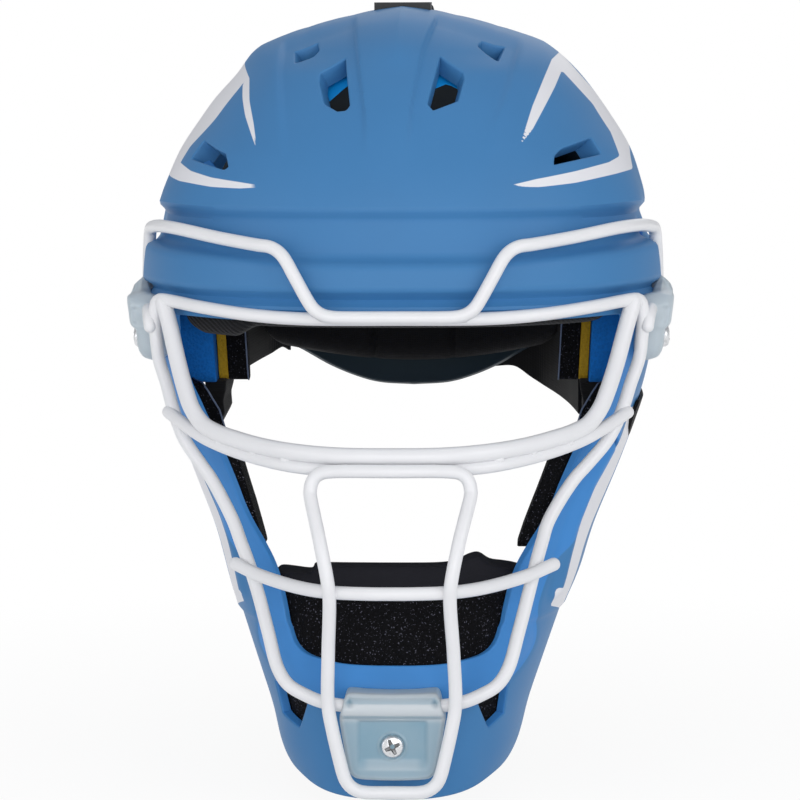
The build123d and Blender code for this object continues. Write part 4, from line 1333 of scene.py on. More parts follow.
def side_clip(name, side):
    """A moulded clip that hooks over the ends of the wires, with a channel for the short wire."""
    hull = on_side(side)
    turn = np.linspace(0, math.tau, 72, endpoint=False)
    s = np.sign(np.cos(turn)) * np.abs(np.cos(turn)) ** (2 / CLIP_SQUARE)
    t = np.sign(np.sin(turn)) * np.abs(np.sin(turn)) ** (2 / CLIP_SQUARE)
    top, bottom = CLIP_FACE[0, 0], CLIP_FACE[-1, 0]
    ends = np.array([0.02, 0.3, 0.8])
    heights = np.concatenate([top - ends, np.linspace(top - 1.4, bottom + 1.4, 52), bottom + ends[::-1]])
    rings = []
    for z in heights:
        gap = min(top - z, z - bottom)
        rounding = math.sqrt(max(CLIP_CORNER ** 2 - max(CLIP_CORNER - gap, 0) ** 2, 0.2))
        y = sum(CLIP_DEPTH) / 2 + s * ((CLIP_DEPTH[1] - CLIP_DEPTH[0]) / 2 - CLIP_CORNER + rounding)
        level = z - 7.0 * ramp(-y, 34, 41) * ramp(z, -16.0, top)
        visor = 3.9 * ramp(level, 0.0, 3.4) * ramp(-y, 33, 39)
        inner = np.abs(hull(y, level, -0.45 - visor)[:, 0])
        outer = np.interp(level, CLIP_FACE[::-1, 0], CLIP_FACE[::-1, 1])
        thin = math.sqrt(max(1 - max(1 - gap / CLIP_LIP, 0) ** 2, 0.02))
        across = (1 + t * thin) / 2
        x = inner + (np.maximum(outer, inner + 1.5) - inner) * across
        ahead = ramp(-s, 0.55, 0.97)
        channel = 8.0 * (1 - ramp(across, 0.30, 0.44)) * (1 - ramp(z, -6.0, -3.0))
        valley = 1.5 * bump(across, 0.78, 0.1) * (1 - ramp(z, -5.0, 0.0)) * ramp(z, -17.0, -12.0)
        lobe = -1.2 * bump(across, 0.6, 0.12) * (1 - ramp(z, -8.0, 0.0))
        y = y + ahead * (channel + valley + lobe)
        rings.append(np.stack([side * x, y, level], -1))
    return solid(name, rings, smooth=55.0)


def chin_clip_face(x, z, rim):
    """The y of the chin clip's face, and how milky it looks, with painted highlights on the hood and a pale band
    painted where the wire lies behind.
    """
    x = np.abs(x)
    body = -152.5 - 0.4 * ramp(z, -190, -172)
    wire = np.clip(np.abs(z - CHIN_WIRE_Z) / 4.9, 0, 1)
    hood = -150.9 - 4.9 * np.sqrt(1 - wire * wire)
    face = np.minimum(np.where(z > -162.0, -152.6, body), np.where(wire < 1, hood, 0))
    face = np.minimum(face, np.where(z > CHIN_WIRE_Z, -153.4 + 0.5 * ramp(z, -163.0, -159.5), 0))
    panel = ramp(-z, 171.2, 172.6) * (1 - ramp(x, 13.0, 15.4)) * (1 - ramp(-z, 188.0, 193.4))
    ring = np.hypot(x, z - CHIN_SCREW_Z)
    face = face + 1.4 * panel * ramp(ring, 0, 5.0) - 0.55 * bump(ring, 5.7, 0.45)
    notch = bump(x, 18.0, 1.3) * bump(z, -164.0, 1.5)
    face = face + 2.2 * notch
    edge = np.clip(rim / 1.7, 0, 1)
    face = face + 1.7 * (1 - np.sqrt(1 - (1 - edge) ** 2))
    milk_and_painted_light = 0.22 + 0.40 * (1 - ramp(rim, 0.5, 2.8)) + 0.42 * bump(z, -171.4, 1.1) - 0.25 * panel
    sill = ramp(-z, 187, 189) * (1 - ramp(-z, 192, 193.6)) * (1 - ramp(x, 9, 13))
    milk_and_painted_light = milk_and_painted_light + 0.22 * bump(ring, 5.9, 0.5) + 0.3 * sill
    # Painted highlight over the hood, and a pale band painted where the wire lies behind the clip
    milk_and_painted_light = milk_and_painted_light + 0.25 * ramp(z, -172, -168)
    milk_and_painted_light = np.maximum(milk_and_painted_light, 1.0 - ramp(np.abs(z - CHIN_WIRE_Z + 0.5), 2.3, 3.1)) - 0.5 * notch
    return face, np.clip(milk_and_painted_light, 0, 1)


def chin_clip(name):
    """The moulded chin clip: a hood over the wire and a sunk panel round the screw."""
    half = flow(CHIN_CLIP_HALF, 5)
    outline = np.vstack([half, half[-2:0:-1] * [-1, 1]])
    middle = np.array([0.0, -178.0])
    shares = np.concatenate([np.linspace(0.02, 0.86, 40), np.linspace(0.875, 1.0, 16)])
    rings = [middle + (outline - middle) * share for share in shares]
    table = np.array(rings)
    rim = -polygon_distance(outline, table[..., 0], table[..., 1])
    face, milk_and_painted_light = chin_clip_face(table[..., 0], table[..., 1], np.maximum(rim, 0))
    front = np.stack([table[..., 0], face, table[..., 1]], -1)
    back = front[::-1].copy()
    back[..., 1] = front_depth(back[..., 0], back[..., 2]) - 0.4
    mesh = solid(name, np.concatenate([front, back]), smooth=50.0)
    mark(mesh, "milk_and_painted_light", np.concatenate([milk_and_painted_light.ravel(), np.full(milk_and_painted_light.size, CHIN_BACK_MILK)]))
    return mesh


def screw_head(name, seat, out, radius=5.0, height=3.0, spin=24.0):
    """A pan head with a cross recess; the head stands on its seat and points out."""
    out = Vector(out)
    over = out.orthogonal().normalized() if abs(out.z) > 0.5 else Vector((0, 0, 1.0))
    beside = out.cross(over)
    turn = np.linspace(0, math.tau, 144, endpoint=False)
    shares = np.concatenate([np.linspace(0.012, 0.9, 54), [0.93, 0.96, 0.985, 1.0]])
    r, angle = np.meshgrid(shares * radius, turn, indexing="ij")
    a, b = r * np.cos(angle), r * np.sin(angle)
    shoulder = np.sqrt(1 - np.clip((r / radius - 0.8) / 0.2, 0, 1) ** 2 * 0.85)
    dome = height * (0.62 + 0.38 * (1 - (r / radius) ** 2)) * shoulder
    twist = math.radians(spin)
    p, q = a * math.cos(twist) + b * math.sin(twist), b * math.cos(twist) - a * math.sin(twist)
    arm = np.minimum(np.abs(p), np.abs(q))
    width = 0.98 - 0.14 * r
    cross = (1 - ramp(arm, width - 0.14, width + 0.14)) * (1 - ramp(r, 3.1, 3.5))
    lift = dome - cross * (1.9 - 0.45 * r)
    flat = a[..., None] * np.array(over) + b[..., None] * np.array(beside)
    place = np.array(seat) + flat + lift[..., None] * np.array(out)
    foot = np.array(seat) + flat[-1:]
    mesh = solid(name, np.concatenate([place, foot]), smooth=35.0)
    # The cross recess is marked for its painted shade
    mark(mesh, "painted_recess_shade", np.concatenate([cross.ravel(), np.zeros(len(turn))]))
    return mesh


class HELMET_OT_clips(bpy.types.Operator):
    """Moulds the clear clips and turns the screws that hold them."""
    bl_idname = "helmet.clips"
    bl_label = "Clips and screws"

    def execute(self, context):
        clear, plating = finish(context, "clear_plastic"), finish(context, "plated_metal")
        heads = []
        for side, word in SIDES:
            mesh = side_clip("side_clip_%s_moulding" % word, side)
            mark(mesh, "milk_and_painted_light", np.full(len(mesh.vertices), CLIP_MILK))
            settle(show(mesh, clear), HELMET, "clear_clip", "side_clip_" + word)
            seat = (side * SCREW_PLACE[0], SCREW_PLACE[1], SCREW_PLACE[2])
            heads.append(screw_head("head", seat, (side, 0, 0)))
        settle(show(chin_clip("chin_clip_moulding"), clear), HELMET, "clear_clip", "chin_clip")
        settle(show(joined("side_screw_heads", heads), plating), HELMET, "screw_metal", "side_clip_screws")
        head = screw_head("chin_screw_head", (0, -151.0, CHIN_SCREW_Z), (0, -1, 0))
        settle(show(head, plating), HELMET, "screw_metal", "chin_clip_screw")
        return {"FINISHED"}


class HELMET_OT_fasteners(bpy.types.Operator):
    """Gives the nuts, rivets, hook and buckle of the frame their finishes."""
    bl_idname = "helmet.fasteners"
    bl_label = "Nuts, rivets, hook and buckle"

    def execute(self, context):
        slots = {"screw_metal": "plated_metal", "black_plastic": "black_plastic"}
        for part in frame["record"]["subparts"]:
            if part["material_slot"] in slots:
                node = frame["nodes"][part["node"]]
                node.data.materials.clear()
                node.data.materials.append(finish(context, slots[part["material_slot"]]))
        return {"FINISHED"}


# Padding: closed forms that lie against the hull


def on_front(across, up, inset):
    """Places on the hull's front at x and z, drawn in by inset."""
    return np.stack([across, front_depth(across, up, inset), up + 0 * across], -1)


def on_rear(across, up, inset):
    """Places on the hull's rear at x and z, drawn in by inset."""
    width, front, rear, middle, square = section_at(up, inset)
    share = np.clip(np.abs(across) / width, 0, 0.999)
    depth = middle + (rear - middle) * (1 - share ** square) ** (1 / square)
    return np.stack([across, depth, up + 0 * across], -1)


def on_side(side):
    """Places on the hull's side at y and z, drawn in by inset."""
    def place(along, up, inset):
        width, front, rear, middle, square = section_at(up, inset)
        reach = np.where(along > middle, rear - middle, front + middle)
        share = np.clip(np.abs(along - middle) / reach, 0, 0.999)
        return np.stack([side * width * (1 - share ** square) ** (1 / square), along, up + 0 * along], -1)

    return place


def on_crown(across, along, inset):
    """Places under the crown at x and y, drawn in by inset."""
    low = np.full(np.shape(across), 5.0)
    high = np.full(np.shape(across), 121.0) - inset
    for _ in range(28):
        level = (low + high) / 2
        width, front, rear, middle, square = section_at(level, inset)
        reach = np.where(along > 0, rear, front)
        inside = (np.abs(across) / width) ** square + (np.abs(along) / reach) ** square < 1
        low, high = np.where(inside, level, low), np.where(inside, high, level)
    return np.stack([across, along, low], -1)


def side_lean(up):
    """How far the ear walls lean out at a height."""
    return 0.055 * (up + 30.0)


def flat_side(side, wall):
    """Places on a steep plane beside the head, drawn in by inset from the plane at wall."""
    def place(along, up, inset):
        return np.stack([side * (wall - inset + side_lean(up)) + 0 * along, along, up + 0 * along], -1)

    return place


# Gap between the places of a cushion, and the share of its thickness where its faces meet
PAD_STEP = 1.6
PAD_SEAM = 0.5
# Depth and width of a sewn line
SEWN = (3.0, 1.6)


def pad_plan(half, corner):
    """A grid over a rectangle with round corners, and how far inside its outline each place lies."""
    count = [max(8, int(2 * size / PAD_STEP)) for size in half]
    u, v = np.meshgrid(np.linspace(-1, 1, count[0] + 1), np.linspace(-1, 1, count[1] + 1), indexing="ij")
    a, b = u * half[0], v * half[1]
    p = (np.abs(a) - (half[0] - corner)) / corner
    q = (np.abs(b) - (half[1] - corner)) / corner
    both = (p > 0) & (q > 0)
    a = np.where(both, np.sign(a) * (half[0] - corner + corner * p * np.sqrt(np.maximum(1 - q * q / 2, 0))), a)
    b = np.where(both, np.sign(b) * (half[1] - corner + corner * q * np.sqrt(np.maximum(1 - p * p / 2, 0))), b)
    inner_a, inner_b = np.abs(a) - (half[0] - corner), np.abs(b) - (half[1] - corner)
    outside = np.hypot(np.maximum(inner_a, 0), np.maximum(inner_b, 0))
    outside = outside + np.minimum(np.maximum(inner_a, inner_b), 0)
    return a, b, np.clip(corner - outside, 0, None)


def pad_heights(a, b, inside, half, thick, swell, grooves, pucker):
    """How far the crowned face and the back of a cushion stand in from its wall."""
    edge = thick * 0.7
    round_front = np.sqrt(1 - (1 - np.clip(inside / edge, 0, 1)) ** 2)
    round_back = np.sqrt(1 - (1 - np.clip(inside / (edge * 0.5), 0, 1)) ** 2)
    dome = swell * (1 - (a / half[0]) ** 2) * (1 - (b / half[1]) ** 2)
    front = thick * (PAD_SEAM + (1 - PAD_SEAM) * round_front) + dome
    for start, end, depth, width in grooves:
        dx, dz = end[0] - start[0], end[1] - start[1]
        along = np.clip(((a - start[0]) * dx + (b - start[1]) * dz) / (dx * dx + dz * dz), 0, 1)
        gap = np.hypot(a - start[0] - along * dx, b - start[1] - along * dz)
        front = front - depth * np.exp(-((gap / width) ** 2))
    wave = np.sin(a * 0.9 + 1.3 * np.sin(b * 0.31)) * np.sin(b * 0.8 + 1.1 * np.sin(a * 0.27))
    front = front + pucker * wave * np.exp(-inside / 5.0) * np.clip(inside / 1.5, 0, 1)
    return front, thick * PAD_SEAM * (1 - round_back)


def pad_mesh(name, place, middle, half, corner, wall, thick, pucker, swell, grooves=(), bend=None):
    """A cushion: its two faces meet in a seam, and the inner face is crowned.

    place turns across, up and inset into a place; grooves are lines (a, b) of
    the pad that are sewn down, each as (start, end, depth, width).
    """
    a, b, inside = pad_plan(half, corner)
    front, back = pad_heights(a, b, inside, half, thick, swell, grooves, pucker)
    c, d = middle[0] + a, middle[1] + b
    if bend:
        c, d = bend(c, d)
    places = np.vstack([place(c, d, wall + face).reshape(-1, 3) for face in (front, back)])
    index = np.arange(a.size).reshape(a.shape)
    rim = np.zeros(a.shape, bool)
    rim[[0, -1], :] = True
    rim[:, [0, -1]] = True
    behind = np.where(rim, index, index + a.size)
    quads = np.stack([index[:-1, :-1], index[1:, :-1], index[1:, 1:], index[:-1, 1:]], -1).reshape(-1, 4)
    other = np.stack([behind[:-1, :-1], behind[:-1, 1:], behind[1:, 1:], behind[1:, :-1]], -1).reshape(-1, 4)
    used, corners = np.unique(np.vstack([quads, other]), return_inverse=True)
    mesh = closed_mesh(name, places[used], corners.reshape(-1, 4).tolist())
    mark(mesh, "along", np.tile(a.ravel(), 2)[used])
    mark(mesh, "across", np.tile(b.ravel(), 2)[used])
    return mesh


def pad(context, mesh, slot, made, *nodes, fill=0.6, body=HELMET):
    piece = settle(show(mesh, finish(context, made)), body, slot, *nodes)


class HELMET_OT_crown_pads(bpy.types.Operator):
    """Lines the crown with one middle and two side cushions."""
    bl_idname = "helmet.crown_pads"
    bl_label = "Crown pads"

    def execute(self, context):
        lines = [((-30, y), (30, y), *SEWN) for y in (-26.0, 0.0, 26.0)]
        mesh = pad_mesh("crown_cushion_center", on_crown, (0.0, -5.0), (21.0, 56.0), 8.0, PAD_BACK, 12.0,
                        swell=0.8, grooves=lines, pucker=0.35)
        pad(context, mesh, "black_fabric", "plain_fabric", "crown_pad_center")
        lines = [((-20, y), (20, y), *SEWN) for y in (18, -18)]
        for side, word in SIDES:
            mesh = pad_mesh("crown_cushion_" + word, on_crown, (side * 44.0, -5.0), (17.0, 54.0), 8.0, 9.4, 8.0,
                            swell=0.8, grooves=lines, pucker=0.35)
            pad(context, mesh, "black_fabric", "plain_fabric", "crown_pad_" + word)
        return {"FINISHED"}


def slab(name, place, outline, wall, thick, soft=0.9, swell=0.0):
    """A die cut block of foam: an outline through its thickness, with softened edges."""
    outline = np.array(outline)
    middle = outline.mean(0)
    ahead = np.roll(outline, -1, 0) - np.roll(outline, 1, 0)
    out = np.stack([ahead[:, 1], -ahead[:, 0]], -1) / np.linalg.norm(ahead, axis=1, keepdims=True)
    if np.sum((outline - middle) * out) < 0:
        out = -out
    core = outline - out * soft
    reach = np.linalg.norm(outline - middle, axis=1).max()
    shares = np.linspace(0.03, 1.0, max(8, int(reach / 1.8)))
    levels = [(middle + (core - middle) * share, thick + swell * (1 - share ** 2)) for share in shares]
    for turn in np.radians([22, 45, 68, 90]):
        levels.append((core + out * soft * math.sin(turn), thick - soft * (1 - math.cos(turn))))
    levels += [(outline, thick - soft - (thick - 1.4 * soft) * share) for share in (0.25, 0.5, 0.75, 1.0)]
    levels += [(core + out * soft * 0.5, 0.0)]
    levels += [(middle + (core - middle) * share, 0.0) for share in shares[::-1]]
    rings = [place(flat[:, 0], flat[:, 1], wall + deep + 0 * flat[:, 0]) for flat, deep in levels]
    mesh = solid(name, rings, smooth=38.0)
    full = np.vstack([flat for flat, deep in levels])
    mark(mesh, "along", full[:, 0])
    mark(mesh, "across", full[:, 1])
    return mesh


def spread(points, step):
    """The closed outline with more places along its long sides."""
    full = []
    for start, end in zip(points, list(points[1:]) + [points[0]]):
        start, end = np.array(start), np.array(end)
        count = max(1, round(float(np.linalg.norm(end - start)) / step))
        full += [start + (end - start) * share / count for share in range(count)]
    return np.array(full)


def block_outline(middle, half, radius):
    """A rectangle with round corners, with places along its sides too."""
    signs = ((-1, -1), (1, -1), (1, 1), (-1, 1))
    corners = [(middle[0] + a * half[0], middle[1] + b * half[1]) for a, b in signs]
    return spread(rounded(corners, radius), 1.8)


class HELMET_OT_vent_arches(bpy.types.Operator):
    """Moulds the plastic that shows inside the crown's vents, its arches and floors painted bright as light shining
    through the vents.
    """
    bl_idname = "helmet.vent_arches"
    bl_label = "Vent arches"

    def execute(self, context):
        arches = [
            slab("arch_painted_glow", on_front, spread(outline, 1.2), inset, thick, 0.4)
            for outlines, inset, thick in ((VENT_ARCHES, 9.5, 1.6), (VENT_FLOORS, 6.4, 1.4))
            for outline in outlines
        ]
        # The arches and floors take painted light: a brighter copy of the blue plastic, as if lit through the vents
        settle(show(joined("vent_arches", arches), finish(context, "painted_glow_plastic")), HELMET, "shell_paint")
        slopes = []
        for outline, (rim, opening) in VENT_SLOPES:
            def slope(across, up, inset, rim=rim, opening=opening):
                share = np.clip((across - rim[0]) / (opening[0] - rim[0]), 0, 1)
                return on_front(across, up, 0.6 + 6.5 * share + inset)

            slopes.append(slab("slope", slope, spread(outline, 1.0), 0.0, 1.2, 0.3))
        settle(show(joined("vent_slopes", slopes), finish(context, "raw_plastic")), HELMET, "shell_paint")
        return {"FINISHED"}


class HELMET_OT_brow_pad(bpy.types.Operator):
    """Sews the ribbed cushion behind the visor."""
    bl_idname = "helmet.brow_pad"
    bl_label = "Brow pad"

    def execute(self, context):
        def droop(across, up):
            return across, up - 5.0 * ramp(-across, 58, 70) * (1 - ramp(up, -6, 12))

        mesh = pad_mesh("brow_cushion", on_front, (0.0, 7.0), (95.0, 20.0), 13.0, PAD_BACK, 11.5,
                        swell=0.5, pucker=0.4, bend=droop)
        pad(context, mesh, "black_fabric", "ribbed_fabric", "brow_pad")
        return {"FINISHED"}


# The chin pad's outline, x and z, and the height where its smooth band starts
CHIN_PAD = [
    (-54.0, -124.0), (-52.5, -119.6), (-49.5, -117.4), (-44.0, -116.4), (-36.2, -115.8), (-34.6, -113.6),
    (-29.5, -113.2), (-27.4, -112.8), (-14.0, -112.3), (4.0, -112.2), (20.0, -112.2), (26.0, -111.2), (31.0, -109.2),
    (35.0, -109.0), (39.5, -112.2), (45.0, -114.0), (49.5, -116.0), (52.5, -118.6), (54.0, -124.0), (55.0, -142.0),
    (54.0, -162.0), (49.0, -178.0), (38.0, -182.0), (24.0, -179.0), (14.0, -172.6), (0.0, -171.0), (-14.0, -172.6),
    (-24.0, -179.0), (-38.0, -182.0), (-49.0, -178.0), (-54.0, -162.0), (-55.0, -142.0),
]
CHIN_BAND = -124.4


class HELMET_OT_chin_pad(bpy.types.Operator):
    """Cuts the chin cup of speckled foam with its smooth upper band."""
    bl_idname = "helmet.chin_pad"
    bl_label = "Chin pad"

    def execute(self, context):
        outline = spread(flow(CHIN_PAD, 4, True), 1.6)
        mesh = slab("chin_cushion", on_front, outline, PAD_BACK, 17.0, 2.5, 1.0)
        levels = np.zeros(len(mesh.vertices), np.float32)
        mesh.attributes["across"].data.foreach_get("value", levels)
        mark(mesh, "smooth", levels > CHIN_BAND)
        pad(context, mesh, "black_foam", "speckled_foam", "chin_pad", fill=0.9)
        return {"FINISHED"}


# The ear walls: faces of the moulded foam, the gold layer and the cushion, as half widths of the helmet
LINER_FACE = 83.2
GOLD_FACE = 82.9
CUSHION_FACE = 78.6
LINER_THICK = 26.0
# The flap under an ear wall: its outline, y and z, and how its inner face waves down it
EAR_FLAP = [
    (-32.0, -43.0), (-8.0, -42.0), (12.0, -42.0), (13.0, -50.0), (12.0, -60.0), (9.0, -68.5), (-4.0, -72.0),
    (-24.0, -70.0),
]
FLAP_WAVE = ([-70.0, -66.6, -58.3, -52.4, -47.3, -42.0], [0.3, 0.45, 0.96, 0.90, 1.06, 1.1])


def ear_flap(side):
    """Places of the soft flap under the ear wall."""
    def place(along, up, inset):
        return np.stack([side * (88.0 - inset * np.interp(up, *FLAP_WAVE)), along, up + 0 * along], -1)

    return place


def edged(context, name, line, thickness, slot):
    """Sews piping along a closed line."""
    settle(show(tube(name, line, thickness, True, 8), finish(context, "piping")), HELMET, slot)


class HELMET_OT_side_pads(bpy.types.Operator):
    """Builds the ear walls: blue moulded foam, a gold layer and a black cushion with piping."""
    bl_idname = "helmet.side_pads"
    bl_label = "Side pads"

    def execute(self, context):
        for side, word in SIDES:
            hull = on_side(side)

            def liner(along, up, inset, hull=hull, side=side):
                places = hull(along, up, np.full(np.shape(along), PAD_BACK))
                share = np.clip(inset / LINER_THICK, 0, 1)
                face = LINER_FACE + side_lean(up)
                places[..., 0] = side * (np.abs(places[..., 0]) * (1 - share) + face * share)
                return places

            def wedge(along, up, inset, side=side):
                thin = 1 - 0.46 * ramp(along, -26.0, 26.0)
                return flat_side(side, CUSHION_FACE)(along, up, inset * thin)

            outline = block_outline((-6.0, -9.0), (31.5, 34.5), 4.0)
            mesh = slab("ear_wall_" + word, liner, outline, 0.0, LINER_THICK, 1.0)
            pad(context, mesh, "blue_foam", "blue_foam", "side_liner_" + word, fill=1.0)
            outline = block_outline((-1.0, -17.4), (25.0, 25.8), 3.0)
            mesh = slab("gold_layer_" + word, flat_side(side, GOLD_FACE), outline, 0.0, 4.2, 0.4)
            pad(context, mesh, "gold_foam", "gold_foam", "side_foam_" + word, fill=1.0)
            outline = block_outline((-1.0, -17.4), (25.3, 26.0), 3.0)
            mesh = slab("side_cushion_" + word, wedge, outline, 0.0, 9.3, 0.9, 0.4)
            pad(context, mesh, "black_fabric", "speckled_foam", "side_pad_" + word)
            line = wedge(outline[:, 0], outline[:, 1], np.full(len(outline), 8.7))
            edged(context, "side_piping_" + word, line, 0.7, "black_fabric")
            mesh = slab("ear_flap_" + word, ear_flap(side), spread(EAR_FLAP, 2.0), 0.0, 8.6, 0.8)
            pad(context, mesh, "black_fabric", "plain_fabric")
        return {"FINISHED"}


# The jaw blocks thin out upward
JAW_TAPER = ([-60.0, -53.0, -43.0], [1.0, 0.97, 0.70])
# Inner faces of the jaw strips: height, then how far out they stand on the left and on the right
STRIP_FACE = np.array([
    (-112.0, 54.9, 49.4), (-98.9, 59.1, 54.0), (-86.3, 63.4, 59.2), (-73.7, 67.5, 64.1), (-60.0, 72.0, 69.5),
])
# How far the strips lean forward down the jaw, and their thickness
STRIP_LEAN = ([-108.0, -97.0, -90.0, -80.0, -67.0], [-9.5, -4.0, 0.0, 2.0, 6.0])
STRIP_THICK = 6.0


class HELMET_OT_jaw_pads(bpy.types.Operator):
    """Cuts the foam blocks and strips along the jaw."""
    bl_idname = "helmet.jaw_pads"
    bl_label = "Jaw pads"

    def execute(self, context):
        for side, word in SIDES:
            hull = on_side(side)

            def slant(along, up, inset, hull=hull):
                return hull(along, up, PAD_BACK + inset * np.interp(up, *JAW_TAPER))

            def lean(along, up, inset, hull=hull, side=side):
                places = hull(along + np.interp(up, *STRIP_LEAN), up, PAD_BACK + 0 * up)
                back = np.abs(places[..., 0])
                face = np.interp(up, STRIP_FACE[:, 0], STRIP_FACE[:, 1 if side < 0 else 2])
                share = np.clip(inset / STRIP_THICK, 0, 1)
                places[..., 0] = side * (back * (1 - share) + np.minimum(face, back - 1.5) * share)
                return places

            outline = block_outline((-36.0, -54.8), (23.0, 13.4), 4.0)
            mesh = slab("jaw_block_" + word, slant, outline, 0.0, 12.4, 1.2)
            pad(context, mesh, "black_foam", "speckled_foam", "jaw_pad_" + word, fill=0.9)
            line = slant(outline[:, 0], outline[:, 1], np.full(len(outline), 12.1))
            edged(context, "jaw_piping_" + word, line, 0.8, "black_foam")
            outline = block_outline((-82.0, -86.0), (10.0, 21.0), 2.5)
            mesh = slab("jaw_band_" + word, lean, outline, 0.0, STRIP_THICK, 0.7)
            pad(context, mesh, "black_foam", "speckled_foam", "jaw_strip_" + word, fill=0.9)
        return {"FINISHED"}


class HELMET_OT_rear_pad(bpy.types.Operator):
    """Sews the cushion of the rear plate."""
    bl_idname = "helmet.rear_pad"
    bl_label = "Rear pad"

    def execute(self, context):
        def cup(across, up):
            return across, up + 11.0 * (np.abs(across) / 70.0) ** 2

        lines = [((x, -60), (x, 60), *SEWN) for x in (-19.0, 19.0)]
        mesh = pad_mesh("nape_cushion", on_rear, (0.0, -3.0), (72.0, 44.0), 12.0, PAD_BACK, 11.5,
                        swell=0.6, grooves=lines, pucker=0.4, bend=cup)
        pad(context, mesh, "black_fabric", "plain_fabric", "rear_pad", body=REAR)
        return {"FINISHED"}


# Harness


# Length at each end of a strap that is sewn down
STITCHED = 1.2


def ribbon(name, middle, across, outward, width, thick):
    """A band of webbing along a line, with the directions across it and out of it."""
    line = np.array(middle, float)
    run = np.concatenate([[0], np.cumsum(np.linalg.norm(np.diff(line, axis=0), axis=1))])
    half = width / 2
    profile = [(-half, 0.15), (-half + 0.35, 0.0)]
    profile += [(x, 0.0) for x in np.linspace(-half + 1.2, half - 1.2, 9)]
    profile += [(half - 0.35, 0.0), (half, 0.15), (half, 0.85), (half - 0.35, 1.0)]
    profile += [(x, 1.0) for x in np.linspace(half - 1.2, -half + 1.2, 9)]
    profile += [(-half + 0.35, 1.0), (-half, 0.85)]
    count = len(profile)
    vertices, along, over = [], [], []
    for place, side, out, far in zip(line, across, outward, run):
        for x, t in profile:
            vertices.append((place + side * x + out * (t * thick)) * MM)
            along.append(far)
            over.append(x)
    faces = []
    for row in range(len(line) - 1):
        for spot in range(count):
            a, b = row * count + spot, row * count + (spot + 1) % count
            faces.append((a, b, b + count, a + count))
    faces.append(tuple(reversed(range(count))))
    faces.append(tuple(range((len(line) - 1) * count, len(line) * count)))
    mesh = bpy.data.meshes.new(name)
    mesh.from_pydata([tuple(vertex) for vertex in vertices], [], faces)
    mesh.polygons.foreach_set("use_smooth", [True] * len(faces))
    mesh.set_sharp_from_angle(angle=math.radians(50))
    mark(mesh, "along", along)
    mark(mesh, "across", over)
    mark(mesh, "stitch", [1.0 if min(far, run[-1] - far) < STITCHED else 0.0 for far in along])
    return mesh


# Lower edges of the neck webbing, from the ear wall to the rear plate
NECK_LINES = {
    "left": [
        (-81.2, 26.6, -47.2), (-79.1, 45, -47.1), (-76.0, 64, -46.4), (-71.9, 84, -45.1), (-68.1, 97, -43.8),
        (-63.3, 104, -41.4), (-59.8, 108.5, -43.4),
    ],
    "right": [
        (78.4, 26.6, -64.9), (76.2, 42, -63.9), (73.5, 60, -63.1), (68.8, 80, -61.6), (62.2, 97, -59.2),
        (55.9, 102.5, -55.6), (48.2, 106, -50.9), (38.5, 109.5, -51.3),
    ],
}
NECK_WIDTH = 34.0
# Strap on the outside of the right ear: y and z
OUTER_STRAP = [(-44.0, -57.0), (-39.0, -51.0), (28.0, -51.0), (28.0, -67.0), (-36.0, -67.0), (-42.0, -63.0)]
# How far over the hull the webbing lies
WEB_LIFT = 0.4


def band_mesh(name, side, line, width, thick):
    """Webbing that stands upright along a line on one side of the helmet."""
    tangent = np.gradient(line, axis=0)
    tangent /= np.linalg.norm(tangent, axis=1, keepdims=True)
    outward = [np.cross(t, (0, 0, 1.0)) * (1 if side > 0 else -1) for t in tangent]
    return ribbon(name, line, [np.array((0, 0, 1.0))] * len(line), outward, width, thick)


def stretch(mesh, web, node, start, end):
    """Shows webbing in place of its CAD solid; start and end are not used."""
    piece = show(mesh, web)
    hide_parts(node)
    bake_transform(piece)
    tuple(start)
    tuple(end)


class HELMET_OT_harness(bpy.types.Operator):
    """Hangs the elastic straps between the shell and the rear plate."""
    bl_idname = "helmet.harness"
    bl_label = "Straps"

    def execute(self, context):
        web = finish(context, "strap_webbing")
        profile = [on_crown(np.array(0.0), np.array(y), -WEB_LIFT) for y in np.linspace(3.0, 84.0, 60)]
        line = [place for place in profile if place[2] > 88.0]
        tangent = np.gradient(np.array(line), axis=0)
        outward = [np.cross((1.0, 0, 0), t) / np.linalg.norm(t) for t in tangent]
        across = [np.array((1.0, 0, 0))] * len(line)
        mesh = ribbon("top_webbing", line, across, outward, 25.0, 1.7)
        stretch(mesh, web, "top_strap", (0, 0.045, 0.115), (0, 0.070, 0.100))
        for side, word in SIDES:
            y = np.linspace(28.0, 76.0, 34)
            line = on_side(side)(y, np.full(y.shape, -4.5), np.full(y.shape, -WEB_LIFT))
            mesh = band_mesh("side_webbing_" + word, side, line, 19.0, 1.7)
            stretch(mesh, web, "side_strap_" + word, (0, 0.040, 0), (0, 0.064, 0))
            line = flow(NECK_LINES[word], 12) + (0, 0, NECK_WIDTH / 2)
            mesh = band_mesh("neck_webbing_" + word, side, line, NECK_WIDTH, 1.8)
            stretch(mesh, web, "neck_strap_" + word, (0, 0.034, 0), (0, 0.080, 0))
        mesh = slab("outer_strap", on_side(1), spread(OUTER_STRAP, 2.0), -1.9, 1.6, 0.4)
        mark(mesh, "stitch", np.zeros(len(mesh.vertices)))
        settle(show(mesh, web), HELMET, "strap_web")
        return {"FINISHED"}


# Lamps: name, place, size and power
LAMPS = [
    ("key", (1.5, -1.3, 0.6), 1.3, 9.0),
    ("front", (0.1, -2.1, 0.0), 1.6, 16.0),
    ("fill", (-1.45, -1.2, 0.35), 1.3, 6.0),
    ("top", (0.0, 0.25, 1.6), 1.4, 2.0),
    ("rear", (0.2, 1.5, 0.9), 1.2, 3.5),
]
LAMPS_AIM = Vector((0, -0.02, -0.03))
SENSOR = 36.0
FLOOR_GAP = 0.002
FLOOR_REACH = 9.0


